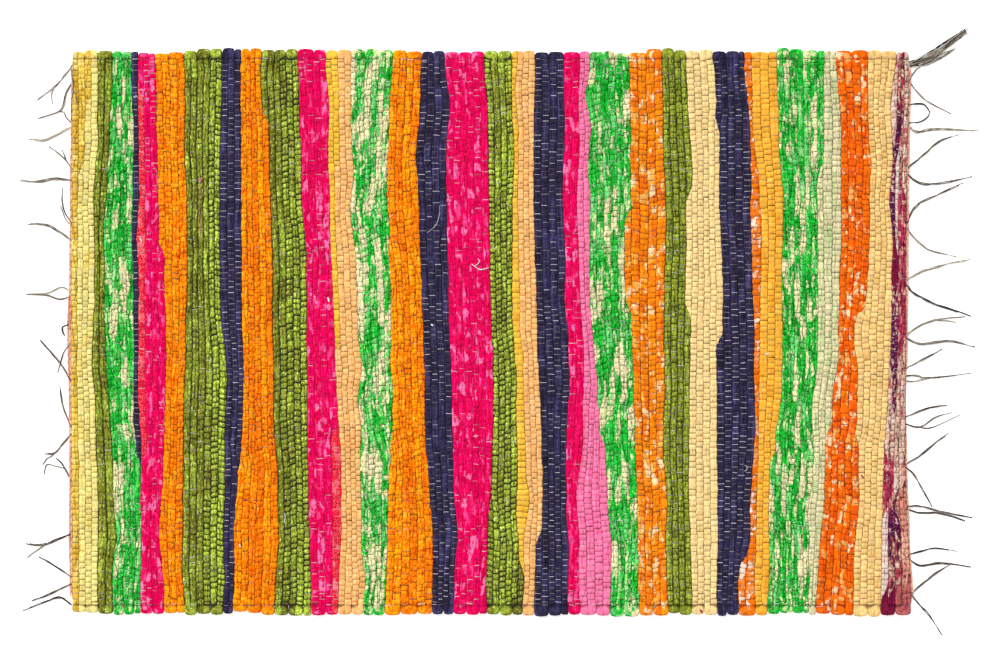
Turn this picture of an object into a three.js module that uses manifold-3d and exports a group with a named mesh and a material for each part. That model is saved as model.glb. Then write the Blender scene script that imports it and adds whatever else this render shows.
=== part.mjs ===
import * as THREE from 'three';
import { mergeVertices } from 'three/addons/utils/BufferGeometryUtils.js';
import Module from 'manifold-3d';

// A flat hand-woven rag rug lying face up. Thick rag picks run along Y, thin
// cotton warp threads run along X and come out at the two short ends as loose
// tufts. Millimetres, +Z up. The origin is the middle of the rug's underside:
// +X runs along the rug's length, +Y across it.

// ---------------------------------------------------------------- sizes
const RUG_LENGTH = 900;          // nominal, over the headings
const FIELD_THICKNESS = 7;       // crown of a rag pick above the floor
const EDGE_ROUNDING = 1.8;       // how far the rag edges roll in, top and bottom
const LOOP_CROWN_Y = 300;        // selvedge: crown of a rag loop
const LOOP_NOTCH_Y = 296;        // selvedge: notch between two rag loops
const LOOP_STEPS = 3;            // straight runs that make one loop
const END_STEPS = 14;            // straight runs along each short end
const HEADING_WIDTH = 4.2;       // cotton heading woven in at each end
const HEADING_THICKNESS = 5.2;
const HEADING_HALF = 286;        // half of the heading's run across the rug
const PIECE_GAP = 0.3;
const SPINE_WIDTH = 1.6;         // warp ends that lie along the heading
const SPINE_THICKNESS = 1.8;
const SPINE_HALF = 293;
const FRINGE_LIFT = 0.2;         // the fringe lies just clear of the floor line
const STRAND_SIDES = 6;
const STRAND_STEPS = 6;
const STRAND_ROOT_WIDTH = 1.3;   // each tuft is drawn tight where it leaves the warp
const STRAND_TIP_SHARE = 0.45;   // tip width as a share of the tuft's width
const STRAND_FLATNESS = 0.72;    // a tuft is lower than it is wide
const HALF_LENGTH = RUG_LENGTH / 2;

// The short ends are not straight. Columns: y, left x, right x of the edge.
const END_EDGES = [
  [300, -447.5, 450.5],
  [215, -448.0, 448.6],
  [135, -449.1, 447.5],
  [66, -449.6, 446.9],
  [-3, -452.0, 446.4],
  [-72, -450.1, 444.0],
  [-142, -449.6, 445.4],
  [-211, -450.1, 448.0],
  [-300, -449.1, 453.0],
];

// Stripes from left to right. Columns: cloth, right-hand edge at the +Y
// selvedge, right-hand edge at the -Y selvedge, rag loops at each selvedge.
const STRIPES = [
  ['yellow', -418.1, -419.2, 2, 2],
  ['olive', -403.2, -403.2, 1, 1],
  ['green', -382.9, -377.6, 1, 2],
  ['navy', -375.5, -374.4, 1, 0],
  ['magenta', -356.3, -347.7, 1, 2],
  ['orange', -326.4, -326.4, 2, 1],
  ['olive', -285.9, -284.8, 3, 3],
  ['navy', -266.7, -273.1, 2, 1],
  ['orange', -245.3, -229.3, 2, 3],
  ['olive', -203.7, -189.9, 3, 3],
  ['magenta', -174.9, -158.9, 2, 2],
  ['peach', -148.3, -136.5, 2, 2],
  ['green', -103.5, -110.9, 3, 2],
  ['orange', -73.6, -62.9, 2, 3],
  ['navy', -46.9, -38.4, 2, 1],
  ['magenta', -6.4, -4.3, 3, 3],
  ['olive', 23.5, 36.3, 2, 3],
  ['peach', 48.0, 48.0, 2, 1],
  ['navy', 78.9, 82.1, 2, 2],
  ['magenta', 96.0, 94.9, 1, 1],
  ['pink', 106.7, 128.0, 1, 2],
  ['green', 148.3, 160.0, 3, 2],
  ['orange', 182.4, 188.8, 2, 2],
  ['olive', 211.2, 215.5, 2, 2],
  ['cream', 238.9, 242.1, 2, 2],
  ['navy', 270.9, 264.5, 2, 2],
  ['amber', 306.1, 294.4, 2, 2],
  ['green', 356.3, 338.1, 3, 3],
  ['sage', 370.1, 348.8, 1, 1],
  ['orange', 403.2, 387.2, 2, 2],
  ['cream', 434.1, 417.1, 2, 2],
  ['maroon', null, null, 1, 2],
];

// Tufts of warp ends. "out" is measured outwards from the nominal end line,
// y along it. Columns: root out, root y, knee out, knee y, middle out,
// middle y, tip out, tip y, width. A root at or inside the end line is tied
// into the warp there; any other root springs from a neighbouring tuft.
const TUFTS_LEFT = [
  [-2, 285.3, 4.6, 274.1, 16.6, 260.6, 36.1, 246.1, 2.1],
  [15.1, 262.4, 18.3, 254.9, 18.5, 250.7, 17.9, 243.5, 1.1],
  [-2, 268.8, 3.0, 254.9, 8.7, 237.3, 32.7, 228.0, 2.1],
  [-2, 221.9, 3.0, 229.3, 5.3, 234.7, 10.8, 235.7, 1.4],
  [-2, 219.8, 8.7, 213.3, 26.8, 204.8, 44.6, 206.5, 3.2],
  [-2, 173.9, 2.9, 183.2, 11.9, 191.5, 21.7, 198.4, 1.5],
  [2.6, 181.3, 3.9, 186.7, 6.0, 191.5, 8.0, 195.6, 1.3],
  [-2, 162.1, 14.0, 163.7, 32.1, 161.1, 51.9, 162.1, 3.4],
  [-2, 116.3, 4.4, 128.0, 7.1, 140.8, 6.5, 154.7, 1.1],
  [-2, 113.1, 3.3, 120.5, 6.5, 128.0, 8.7, 135.5, 1.1],
  [-2, 98.1, 10.8, 107.7, 24.7, 114.7, 43.9, 115.2, 2.8],
  [-2, 42.7, 7.6, 48.0, 23.6, 41.6, 46.0, 40.5, 1.7],
  [-2, 38.4, 9.7, 35.2, 24.7, 39.5, 43.9, 40.0, 1.7],
  [-2, 8.5, 6.5, 5.3, 6.5, 0.0, 4.2, -4.3, 1.7],
  [-2, -13.9, 5.5, -21.3, 8.7, -32.0, 11.9, -43.7, 1.4],
  [-2, -51.2, 8.7, -34.1, 19.3, -21.3, 31.1, -8.5, 2.1],
  [-2, -101.3, 5.5, -82.1, 8.1, -69.3, 9.7, -57.6, 1.7],
  [-2, -108.8, 6.5, -119.5, 15.1, -129.1, 25.7, -130.1, 2.1],
  [12.9, -127.5, 18.3, -132.3, 23.6, -135.5, 27.9, -141.9, 1.3],
  [-2, -160.0, 2.8, -148.3, 8.1, -139.7, 14.0, -134.4, 1.7],
  [4.4, -145.6, 15.1, -142.9, 23.6, -141.9, 26.8, -152.5, 1.3],
  [-2, -215.5, 12.9, -221.9, 28.9, -227.2, 46.0, -226.1, 2.8],
  [19.3, -224.0, 27.9, -229.3, 36.4, -234.7, 44.9, -241.1, 1.5],
  [-2, -261.3, 8.7, -253.9, 20.4, -246.4, 32.1, -240.0, 1.9],
  [-2, -268.8, 10.8, -275.2, 24.7, -281.6, 39.6, -286.9, 2.3],
  [-2, -291.3, 8.7, -283.7, 21.5, -286.4, 49.2, -297.6, 2.3],
];
const TUFTS_RIGHT = [
  [-2, 283.7, 14.0, 294.4, 32.1, 309.3, 57.7, 325.3, 4.5],
  [-2, 281.6, 19.3, 293.3, 38.5, 307.2, 62.0, 322.7, 2.6],
  [-2, 282.7, 15.1, 290.1, 30.0, 296.5, 47.1, 302.9, 2.8],
  [-2, 279.5, 4.3, 266.7, 15.1, 248.5, 42.8, 233.6, 1.9],
  [-2, 222.9, 8.7, 224.5, 17.2, 229.3, 20.4, 235.7, 1.6],
  [-2, 242.1, 5.5, 243.7, 14.0, 242.7, 20.4, 234.7, 1.6],
  [-2, 220.9, 5.5, 213.9, 23.6, 216.5, 72.7, 215.5, 3.2],
  [-2, 174.9, 14.0, 189.9, 30.0, 203.7, 50.3, 211.2, 2.3],
  [-2, 168.5, 7.6, 160.0, 25.7, 157.9, 65.2, 166.4, 3.0],
  [-2, 116.3, 3.3, 132.3, 19.3, 142.9, 55.6, 158.9, 2.6],
  [-2, 110.9, 6.5, 97.1, 20.4, 87.5, 48.1, 80.0, 2.3],
  [-2, 55.5, 15.1, 66.1, 38.5, 72.0, 63.1, 77.9, 2.8],
  [-2, 50.1, 5.5, 39.5, 25.7, 29.9, 64.1, 17.1, 2.8],
  [-2, -4.3, 8.7, 6.4, 30.0, 13.9, 57.7, 16.0, 2.3],
  [25.7, 12.8, 32.1, 12.3, 40.7, 11.7, 48.1, 10.1, 1.3],
  [-2, -6.4, 10.8, -12.8, 40.7, -9.6, 68.4, -16.0, 2.8],
  [-2, -39.5, 7.6, -32.0, 20.4, -25.1, 33.2, -18.1, 2.1],
  [-2, -46.9, 4.4, -46.4, 19.3, -49.1, 64.1, -43.7, 2.1],
  [-2, -52.3, 4.4, -52.8, 19.3, -49.1, 46.0, -46.9, 2.1],
  [-2, -91.7, 9.7, -84.3, 24.7, -80.0, 38.5, -77.9, 2.1],
  [-2, -98.1, 8.7, -101.3, 24.7, -91.7, 43.9, -86.4, 1.9],
  [5.5, -100.8, 15.1, -102.9, 25.7, -100.3, 52.4, -88.5, 1.2],
  [-2, -141.9, 8.7, -132.3, 24.7, -119.5, 40.7, -107.7, 2.3],
  [-2, -144.0, 2.3, -151.5, 10.8, -166.4, 22.5, -186.7, 2.3],
  [-2, -186.7, 9.7, -186.1, 32.1, -192.0, 65.2, -198.4, 2.1],
  [-2, -188.8, 8.7, -193.1, 30.0, -193.6, 57.7, -201.6, 2.1],
  [-2, -237.9, 10.8, -234.1, 24.7, -230.9, 49.2, -234.7, 1.9],
  [-2, -242.1, 9.7, -249.6, 31.1, -246.9, 64.1, -250.7, 2.3],
  [-2, -279.5, 11.9, -268.8, 25.7, -258.1, 42.8, -248.5, 2.6],
  [-2, -280.5, 9.7, -292.3, 19.3, -302.9, 33.2, -324.3, 2.3],
];

// ---------------------------------------------------------------- helpers
const wasm = await Module();
wasm.setup();

// x of a short end's edge at y, on a smooth curve through END_EDGES.
function endEdge(side, y) {
  const column = side < 0 ? 1 : 2;
  let i = 1;
  while (i < END_EDGES.length - 1 && y < END_EDGES[i][0]) i++;
  const [y0, y1] = [END_EDGES[i - 1][0], END_EDGES[i][0]];
  const t = THREE.MathUtils.clamp((y - y0) / (y1 - y0), 0, 1);
  const eased = t * t * (3 - 2 * t);
  return THREE.MathUtils.lerp(END_EDGES[i - 1][column], END_EDGES[i][column], eased);
}

function solidGeometry(positions, triangles) {
  const geometry = new THREE.BufferGeometry();
  geometry.setAttribute('position', new THREE.Float32BufferAttribute(positions, 3));
  geometry.setIndex(triangles);
  return geometry;
}

function toManifold(geometry) {
  const bare = geometry.clone();
  bare.deleteAttribute('normal');
  bare.deleteAttribute('uv');
  const merged = mergeVertices(bare, 1e-4);
  return new wasm.Manifold(new wasm.Mesh({
    numProp: 3,
    vertProperties: Float32Array.from(merged.attributes.position.array),
    triVerts: Uint32Array.from(merged.index.array),
  }));
}

function fromManifold(solid) {
  const mesh = solid.getMesh();
  const positions = [];
  for (let i = 0; i < mesh.numVert; i++) {
    for (let k = 0; k < 3; k++) positions.push(mesh.vertProperties[i * mesh.numProp + k]);
  }
  return solidGeometry(positions, Array.from(mesh.triVerts));
}

// Stacks copies of one outline: each level gives a height and how far the
// outline is drawn in there. Outline points carry the direction to draw in.
function stackedOutline(outline, levels) {
  const positions = [];
  const triangles = [];
  const n = outline.length;
  for (const { z, inset } of levels) {
    for (const p of outline) positions.push(p.x - p.sx * inset, p.y - p.sy * inset, z);
  }
  for (let l = 0; l < levels.length - 1; l++) {
    for (let i = 0; i < n; i++) {
      const j = (i + 1) % n;
      const [a, b, c, d] = [l * n + i, l * n + j, (l + 1) * n + j, (l + 1) * n + i];
      triangles.push(a, b, c, a, c, d);
    }
  }
  for (const [level, flip] of [[0, true], [levels.length - 1, false]]) {
    const contour = outline.map((p) => new THREE.Vector2(
      p.x - p.sx * levels[level].inset, p.y - p.sy * levels[level].inset));
    for (const [a, b, c] of THREE.ShapeUtils.triangulateShape(contour, [])) {
      const [i, j, k] = flip ? [a, c, b] : [a, b, c];
      triangles.push(level * n + i, level * n + j, level * n + k);
    }
  }
  return solidGeometry(positions, triangles);
}

// ---------------------------------------------------------------- field
// One selvedge: a row of rag loops between the field's two end lines.
function selvedge(side) {
  const [edgeColumn, loopColumn] = side > 0 ? [1, 3] : [2, 4];
  const inner = HEADING_WIDTH + PIECE_GAP;
  let from = endEdge(-1, side * LOOP_NOTCH_Y) + inner;
  const last = endEdge(1, side * LOOP_NOTCH_Y) - inner;
  const points = [{ x: from, y: side * LOOP_NOTCH_Y, sx: -1, sy: side }];
  for (const stripe of STRIPES) {
    const loops = stripe[loopColumn];
    if (loops === 0) continue;
    const to = stripe[edgeColumn] === null ? last : stripe[edgeColumn];
    for (let k = 0; k < loops; k++) {
      const [x0, x1] = [from + (to - from) * (k / loops), from + (to - from) * ((k + 1) / loops)];
      for (let s = 1; s <= LOOP_STEPS; s++) {
        const rise = Math.sin(Math.PI * s / LOOP_STEPS) * (LOOP_CROWN_Y - LOOP_NOTCH_Y)
          / Math.sin(Math.PI / LOOP_STEPS);
        points.push({
          x: THREE.MathUtils.lerp(x0, x1, (1 - Math.cos(Math.PI * s / LOOP_STEPS)) / 2),
          y: side * (LOOP_NOTCH_Y + rise), sx: 0, sy: side,
        });
      }
    }
    from = to;
  }
  points[points.length - 1].sx = 1;
  return points;
}

function fieldEnd(side) {
  const points = [];
  for (let i = 1; i < END_STEPS; i++) {
    const y = THREE.MathUtils.lerp(-LOOP_NOTCH_Y, LOOP_NOTCH_Y, i / END_STEPS);
    points.push({ x: endEdge(side, y) - side * (HEADING_WIDTH + PIECE_GAP), y, sx: side, sy: 0 });
  }
  return points;
}

function wovenField() {
  const outline = [
    ...selvedge(-1),
    ...fieldEnd(1),
    ...selvedge(1).reverse(),
    ...fieldEnd(-1).reverse(),
  ];
  return stackedOutline(outline, [
    { z: 0, inset: EDGE_ROUNDING },
    { z: EDGE_ROUNDING, inset: 0 },
    { z: FIELD_THICKNESS - EDGE_ROUNDING, inset: 0 },
    { z: FIELD_THICKNESS, inset: EDGE_ROUNDING },
  ]);
}

// ---------------------------------------------------------------- headings
// A strip that follows a short end between two distances outside its edge.
function endStrip(side, nearOut, farOut, half, levels) {
  const outline = [];
  const run = (out, sign) => {
    for (let i = 0; i <= END_STEPS; i++) {
      const y = THREE.MathUtils.lerp(-half, half, i / END_STEPS) * sign;
      outline.push({ x: endEdge(side, y) + side * out, y, sx: sign, sy: 0 });
    }
  };
  run(side > 0 ? farOut : nearOut, 1);
  run(side > 0 ? nearOut : farOut, -1);
  return stackedOutline(outline, levels);
}

function heading(side) {
  return endStrip(side, -HEADING_WIDTH, 0, HEADING_HALF, [
    { z: 0, inset: 0.6 },
    { z: 1, inset: 0 },
    { z: HEADING_THICKNESS - 1.2, inset: 0 },
    { z: HEADING_THICKNESS, inset: 0.9 },
  ]);
}

// ---------------------------------------------------------------- fringe
// A tapering strand that lies along a curve, with flat closed ends.
function strand(curve, width) {
  const positions = [];
  const triangles = [];
  for (let i = 0; i <= STRAND_STEPS; i++) {
    const t = i / STRAND_STEPS;
    const centre = curve.getPoint(t);
    const along = curve.getTangent(t);
    const belly = Math.min(1, t * 4);
    const tip = THREE.MathUtils.lerp(1, STRAND_TIP_SHARE, THREE.MathUtils.smoothstep(t, 0.5, 1));
    const w = THREE.MathUtils.lerp(Math.min(STRAND_ROOT_WIDTH, width), width, belly) * tip;
    const h = Math.max(0.9, w * STRAND_FLATNESS);
    for (let s = 0; s < STRAND_SIDES; s++) {
      const a = 2 * Math.PI * s / STRAND_SIDES;
      positions.push(
        centre.x - along.y * Math.cos(a) * w / 2,
        centre.y + along.x * Math.cos(a) * w / 2,
        FRINGE_LIFT + h / 2 + Math.sin(a) * h / 2);
    }
  }
  for (let i = 0; i < STRAND_STEPS; i++) {
    for (let s = 0; s < STRAND_SIDES; s++) {
      const e = (s + 1) % STRAND_SIDES;
      const [a, b] = [i * STRAND_SIDES + s, i * STRAND_SIDES + e];
      const [c, d] = [b + STRAND_SIDES, a + STRAND_SIDES];
      triangles.push(a, b, c, a, c, d);
    }
  }
  const end = STRAND_STEPS * STRAND_SIDES;
  for (let s = 1; s < STRAND_SIDES - 1; s++) {
    triangles.push(0, s + 1, s, end, end + s, end + s + 1);
  }
  return solidGeometry(positions, triangles);
}

function tuftCurve(side, row) {
  const [rootOut, rootY, kneeOut, kneeY, midOut, midY, tipOut, tipY, width] = row;
  const spineOut = PIECE_GAP + SPINE_WIDTH / 2;
  const point = (out, y, clear) => {
    const edge = endEdge(side, y);
    const nearest = side * edge + clear;
    return new THREE.Vector2(side * Math.max(HALF_LENGTH + out, nearest), y);
  };
  const clear = spineOut + width / 2;
  return new THREE.SplineCurve([
    rootOut <= 0 ? new THREE.Vector2(endEdge(side, rootY) + side * spineOut, rootY)
      : point(rootOut, rootY, clear),
    point(kneeOut, kneeY, clear),
    point(midOut, midY, clear),
    point(tipOut, tipY, clear),
  ]);
}

function fringe(side, rows) {
  let comb = toManifold(endStrip(side, PIECE_GAP, PIECE_GAP + SPINE_WIDTH, SPINE_HALF, [
    { z: FRINGE_LIFT, inset: 0 },
    { z: FRINGE_LIFT + SPINE_THICKNESS, inset: 0 },
  ]));
  for (const row of rows) {
    comb = comb.add(toManifold(strand(tuftCurve(side, row), row[row.length - 1])));
  }
  return fromManifold(comb);
}

// ---------------------------------------------------------------- the rug
const ragCloth = new THREE.MeshStandardMaterial({ color: 0xf28a1c, roughness: 0.9, metalness: 0 });
const headingYarn = new THREE.MeshStandardMaterial({ color: 0xf0b08c, roughness: 0.9, metalness: 0 });
const warpThread = new THREE.MeshStandardMaterial({ color: 0x857f76, roughness: 0.85, metalness: 0 });

const rug = new THREE.Group();
rug.name = 'rag_rug';

function place(name, geometry, material) {
  const shape = geometry.index ? geometry : mergeVertices(geometry);
  shape.computeVertexNormals();
  const mesh = new THREE.Mesh(shape, material);
  mesh.name = name;
  rug.add(mesh);
}

place('woven_field', wovenField(), ragCloth);
place('heading_left', heading(-1), headingYarn);
place('heading_right', heading(1), headingYarn);
place('fringe_left', fringe(-1, TUFTS_LEFT), warpThread);
place('fringe_right', fringe(1, TUFTS_RIGHT), warpThread);

export default rug;
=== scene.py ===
"""A flat hand-woven rag rug, seen from straight above.

Every rag pick is a real closed tube that swells and pinches over the warp
threads; the warp threads show as short stitches in the pinches; the rags turn
back in loops at the two long sides; thin cotton headings and loose tufts of
warp ends finish the two short ends. Lengths in the tables are millimetres in
the rug's own frame, and everything is built in metres.
"""
import math

import bpy
import numpy as np
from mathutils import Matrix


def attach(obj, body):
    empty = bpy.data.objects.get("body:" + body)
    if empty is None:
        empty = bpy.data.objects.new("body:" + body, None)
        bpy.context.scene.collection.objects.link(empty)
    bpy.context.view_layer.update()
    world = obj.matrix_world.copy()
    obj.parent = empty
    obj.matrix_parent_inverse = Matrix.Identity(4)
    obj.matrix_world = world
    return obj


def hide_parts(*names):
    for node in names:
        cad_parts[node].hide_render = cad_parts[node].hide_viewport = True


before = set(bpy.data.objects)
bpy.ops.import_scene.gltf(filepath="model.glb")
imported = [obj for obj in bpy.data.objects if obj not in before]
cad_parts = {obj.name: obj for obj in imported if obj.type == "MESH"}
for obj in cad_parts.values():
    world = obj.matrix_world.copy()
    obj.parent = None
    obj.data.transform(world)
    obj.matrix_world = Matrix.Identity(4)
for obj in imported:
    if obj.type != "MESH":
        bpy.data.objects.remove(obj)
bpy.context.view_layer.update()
rng = np.random.default_rng(90210)
MM = 0.001

# ------------------------------------------------------------------ sizes
WARP_PITCH = 3.0            # one warp thread every 3 mm across the rug
WARP_HALF = 291.0           # outermost warp thread
THICK = 7.0                 # crown of a rag above the floor
END_EDGES = (               # y, left edge, right edge of the rug's short ends
    (300, -447.5, 450.5), (215, -448.0, 448.6), (135, -449.1, 447.5),
    (66, -449.6, 446.9), (-3, -452.0, 446.4), (-72, -450.1, 444.0),
    (-142, -449.6, 445.4), (-211, -450.1, 448.0), (-300, -449.1, 453.0),
)
HALF_LENGTH = 450.0

# ------------------------------------------------------------------ stripes
# Heights at which a stripe's right-hand edge is given.
LEVELS = (279.5, 135.5, -3.2, -141.9, -280.5)
FIELD_LEFT = (-445.1, -445.9, -447.1, -446.0, -445.4)
# cloth at the +Y end, picks, right-hand edge at each level, joins: the height
# where the weaver laid in another rag, and its cloth.
STRIPES = [
    ("yellow", 1, (-438.4, -439.5, -440.5, -438.9, -438.6), []),
    ("yellow", 1, (-431.5, -433.6, -434.5, -432, -432), [(173, "butter")]),
    ("yellow", 1, (-424.8, -427.4, -428.5, -425.1, -425.6), [(247, "butter")]),
    ("butter", 1, (-418.1, -421.3, -422.4, -418.1, -419.2), []),
    ("olive", 2, (-403.2, -408.5, -410.7, -402.1, -403.2), []),
    ("green", 4, (-382.9, -380.8, -379.7, -378.3, -380.2), []),
    ("navy", 1, (-375.5, -374.4, -374.4, -372.3, -374.4), [(-134, "green")]),
    ("magenta", 1, (-369.6, -368.0, -367.7, -366.8, -367.7), [(255, "scarlet"), (-134, "magenta")]),
    ("magenta", 2, (-356.3, -354.1, -352.8, -354.7, -354.4), []),
    ("orange", 1, (-348.8, -346.7, -345.6, -348.8, -347.7), [(87, "magenta")]),
    ("orange", 3, (-326.4, -323.2, -324.3, -327.5, -326.4), []),
    ("olive", 6, (-285.9, -288, -284.8, -282.7, -284.8), []),
    ("navy", 2, (-273.1, -273.1, -270.9, -267.7, -273.1), []),
    ("navy", 1, (-266.7, -265.6, -264.5, -260.8, -265.8), [(-137, "orange")]),
    ("orange", 4, (-245.3, -239.2, -238.1, -233.1, -236.6), []),
    ("olive", 1, (-238.4, -232.5, -231.5, -226.1, -229.3), [(228, "orange")]),
    ("olive", 5, (-203.7, -200.5, -195.2, -194.1, -189.9), []),
    ("magenta", 3, (-182.4, -178.1, -173.9, -168.5, -167.5), []),
    ("magenta", 1, (-174.9, -170.7, -166.4, -158.9, -158.9), [(-105, "scarlet")]),
    ("gold", 1, (-168.5, -164.8, -160, -153.6, -153.3), [(-14, "peach")]),
    ("gold", 1, (-161.6, -158.9, -153.6, -148.3, -147.7), [(178, "peach")]),
    ("peach", 2, (-148.3, -147.2, -140.8, -137.6, -136.5), []),
    ("green", 4, (-118.4, -120.9, -112.6, -107.7, -110.9), []),
    ("green", 1, (-110.9, -114.4, -105.6, -100.6, -102.9), [(-115, "orange")]),
    ("green", 1, (-103.5, -107.7, -98.6, -93.5, -94.9), [(93, "orange")]),
    ("orange", 4, (-73.6, -75.7, -70.4, -65.1, -62.9), []),
    ("navy", 4, (-46.9, -45.9, -42.7, -39.5, -38.4), []),
    ("magenta", 5, (-13.1, -8.5, -6.2, -4.8, -4.3), []),
    ("magenta", 1, (-6.4, -1.1, 1.1, 2.1, 2.5), [(-185, "olive")]),
    ("olive", 4, (23.5, 23.5, 24.5, 29.9, 29.5), []),
    ("gold", 1, (32, 29.9, 33.1, 38.4, 36.3), [(-249, "olive")]),
    ("peach", 2, (42.7, 41.6, 44.8, 50.1, 48), []),
    ("peach", 1, (48, 46.9, 50.1, 55.5, 54.8), [(-217, "navy")]),
    ("navy", 4, (78.9, 77.9, 83.2, 81.1, 82.1), []),
    ("magenta", 2, (96, 92.8, 97.1, 94.9, 94.9), []),
    ("pink", 2, (106.7, 105.6, 110.9, 108.8, 111.5), []),
    ("green", 1, (113.8, 113.1, 117.7, 116.3, 119.7), [(-78, "pink")]),
    ("green", 1, (120.9, 120.5, 124.5, 123.7, 128), [(-115, "pink")]),
    ("green", 3, (142.3, 142.9, 144.6, 147.7, 152), []),
    ("green", 1, (149.3, 150.4, 151.5, 155.7, 160), [(125, "spotted"), (29, "green")]),
    ("spotted", 4, (183.5, 187.7, 185.6, 185.6, 188.8), []),
    ("moss", 3, (203.5, 209.1, 207.3, 205.7, 208.9), []),
    ("moss", 1, (210.1, 215.2, 214.4, 212.3, 215.5), [(146, "cream"), (23, "moss")]),
    ("cream", 4, (240, 239.4, 243.2, 243.2, 242.1), []),
    ("navy", 1, (246.2, 245.3, 250.7, 250.5, 247.8), [(221, "cream"), (-5, "navy")]),
    ("navy", 3, (264.8, 269.3, 273.1, 272.2, 264.5), []),
    ("navy", 1, (270.9, 277.3, 280.5, 279.5, 272), [(-243, "flecked")]),
    ("flecked", 1, (279.5, 288.5, 288, 285.9, 281.6), []),
    ("amber", 2, (297.3, 305.1, 303.7, 298.7, 294.4), []),
    ("amber", 1, (306.1, 313.6, 311.5, 305.2, 300.7), [(-131, "green")]),
    ("green", 6, (349.1, 349.2, 349.9, 344.5, 338.1), []),
    ("green", 1, (356.3, 355.2, 357, 350.4, 343.5), [(173, "sage")]),
    ("sage", 1, (363.2, 364.8, 364.1, 356.3, 348.8), []),
    ("sage", 1, (370.1, 374.4, 371.2, 363.3, 356.5), [(-105, "printed")]),
    ("printed", 3, (394.9, 396.8, 391.5, 384.4, 379.5), []),
    ("printed", 1, (403.2, 404.3, 399.2, 391.5, 387.2), [(23, "custard"), (-115, "printed")]),
    ("custard", 4, (432, 428.8, 427.7, 420.3, 417.1), []),
    ("rose", 1, (435.5, 432.4, 431.5, 425.7, 424.9),
     [(212, "plum"), (104, "garnet"), (45, "plum"), (-43, "rose"), (-131, "crimson"), (-192, "blush"), (-278, "garnet")]),
    ("wine", 1, (439, 436, 435.2, 431.2, 432.6),
     [(242, "plum"), (190, "blush"), (87, "garnet"), (45, "plum"), (-84, "rose"), (-134, "crimson"), (-190, "plum"),
      (-217, "wine"), (-276, "garnet")]),
    ("wine", 1, (442.5, 439.6, 438.9, 436.7, 440.3),
     [(166, "crimson"), (-30, "rose"), (-170, "wine"), (-195, "plum"), (-218, "wine"), (-270, "dusty")]),
    ("rose", 1, (446.9, 444.2, 443.5, 442.9, 449.2),
     [(150, "crimson"), (-14, "rose"), (-164, "shell"), (-268, "dusty")]),
]

# Where the edge after a pick strays from its line: height, shift, half length.
STRAYS = {
    4: ((-36, -2.5, 42), (204, 2.4, 18), (-120, -2.1, 28), (144, -1.7, 28)),
    6: ((-216, 4.0, 18), (120, -3.0, 18), (96, -1.8, 18)),
    10: ((-84, -1.2, 28), (216, 2.2, 36), (90, -1.3, 28)),
    11: ((-60, -1.9, 42), (96, -2.5, 28), (-252, 1.9, 42)), 15: ((-216, -4.4, 42), (60, -2.4, 28)),
    18: ((-252, -2.5, 42), (192, -1.8, 28)), 24: ((-48, 3.3, 42), (48, -1.8, 42), (-264, 1.8, 18)),
    26: ((-204, -3.4, 42),), 27: ((-120, -4.5, 42),), 32: ((-96, -3.3, 42), (156, -2.4, 42), (-228, 1.7, 18)),
    37: ((84, 3.0, 42),), 41: ((240, 2.7, 28), (-276, -1.9, 42)),
    45: ((-264, 3.6, 18), (132, -3.1, 18), (-36, 2.8, 18), (168, 2.5, 28), (-72, -2.3, 18), (72, 1.8, 28)),
    49: ((-132, 2.1, 18),), 50: ((60, 3.6, 42), (-96, -2.4, 42), (-36, -2.0, 18)),
    51: ((240, -2.0, 42), (156, -1.9, 42)), 55: ((-96, -3.5, 42), (192, -3.3, 28), (-228, 3.0, 42)),
    59: ((-216, 4.2, 28), (240, 3.9, 28)), 64: ((-204, 2.9, 42),),
    65: ((-60, 2.3, 42), (-168, -2.0, 18), (228, 1.9, 42)),
    69: ((180, 2.8, 42), (-192, -2.4, 28), (-228, 1.9, 18), (-48, 1.8, 28)),
    70: ((264, -5.0, 28), (-180, 4.0, 18), (-228, -1.8, 18), (0, -1.7, 18), (-24, 1.7, 18)),
    77: ((-60, 2.6, 28), (-240, 2.4, 42), (36, -2.0, 28), (216, 1.9, 42)),
    79: ((-120, 4.2, 42), (-36, 3.4, 42), (-168, -3.3, 28), (192, 2.6, 28)),
    81: ((-60, 5.0, 28), (252, -4.1, 18), (216, 3.0, 18), (36, -2.9, 42), (144, 1.7, 18)),
    83: ((-228, 3.2, 42),), 87: ((-264, -1.9, 18),), 91: ((-180, 2.7, 28), (192, -1.7, 28), (-60, 1.7, 28)),
    95: ((180, 2.3, 28),), 99: ((-36, -2.2, 42), (-108, -1.8, 28), (252, 1.8, 28)), 100: ((12, -2.9, 18),),
    104: ((216, 3.6, 42), (-96, 2.7, 42), (-12, 2.1, 28), (156, 1.8, 28), (-216, 1.7, 18)),
    105: ((216, -3.7, 42),), 107: ((-252, 2.5, 42),),
    108: ((192, -2.7, 42), (-48, 2.5, 42), (-108, -2.5, 18), (72, -1.9, 42)),
    114: ((-84, -4.0, 28), (-192, -3.9, 18), (-276, 2.2, 28)), 116: ((-180, 1.7, 42),),
    117: ((-72, -2.8, 18), (216, 2.2, 42), (-24, 1.8, 18)),
    120: ((-96, 4.6, 42), (0, -3.5, 18), (-48, 2.3, 18)),
    121: ((-180, 3.9, 28), (180, 2.8, 18), (96, 1.7, 42), (-132, 1.7, 18)),
    125: ((240, -3.3, 28), (144, -2.6, 18)),
}

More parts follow.
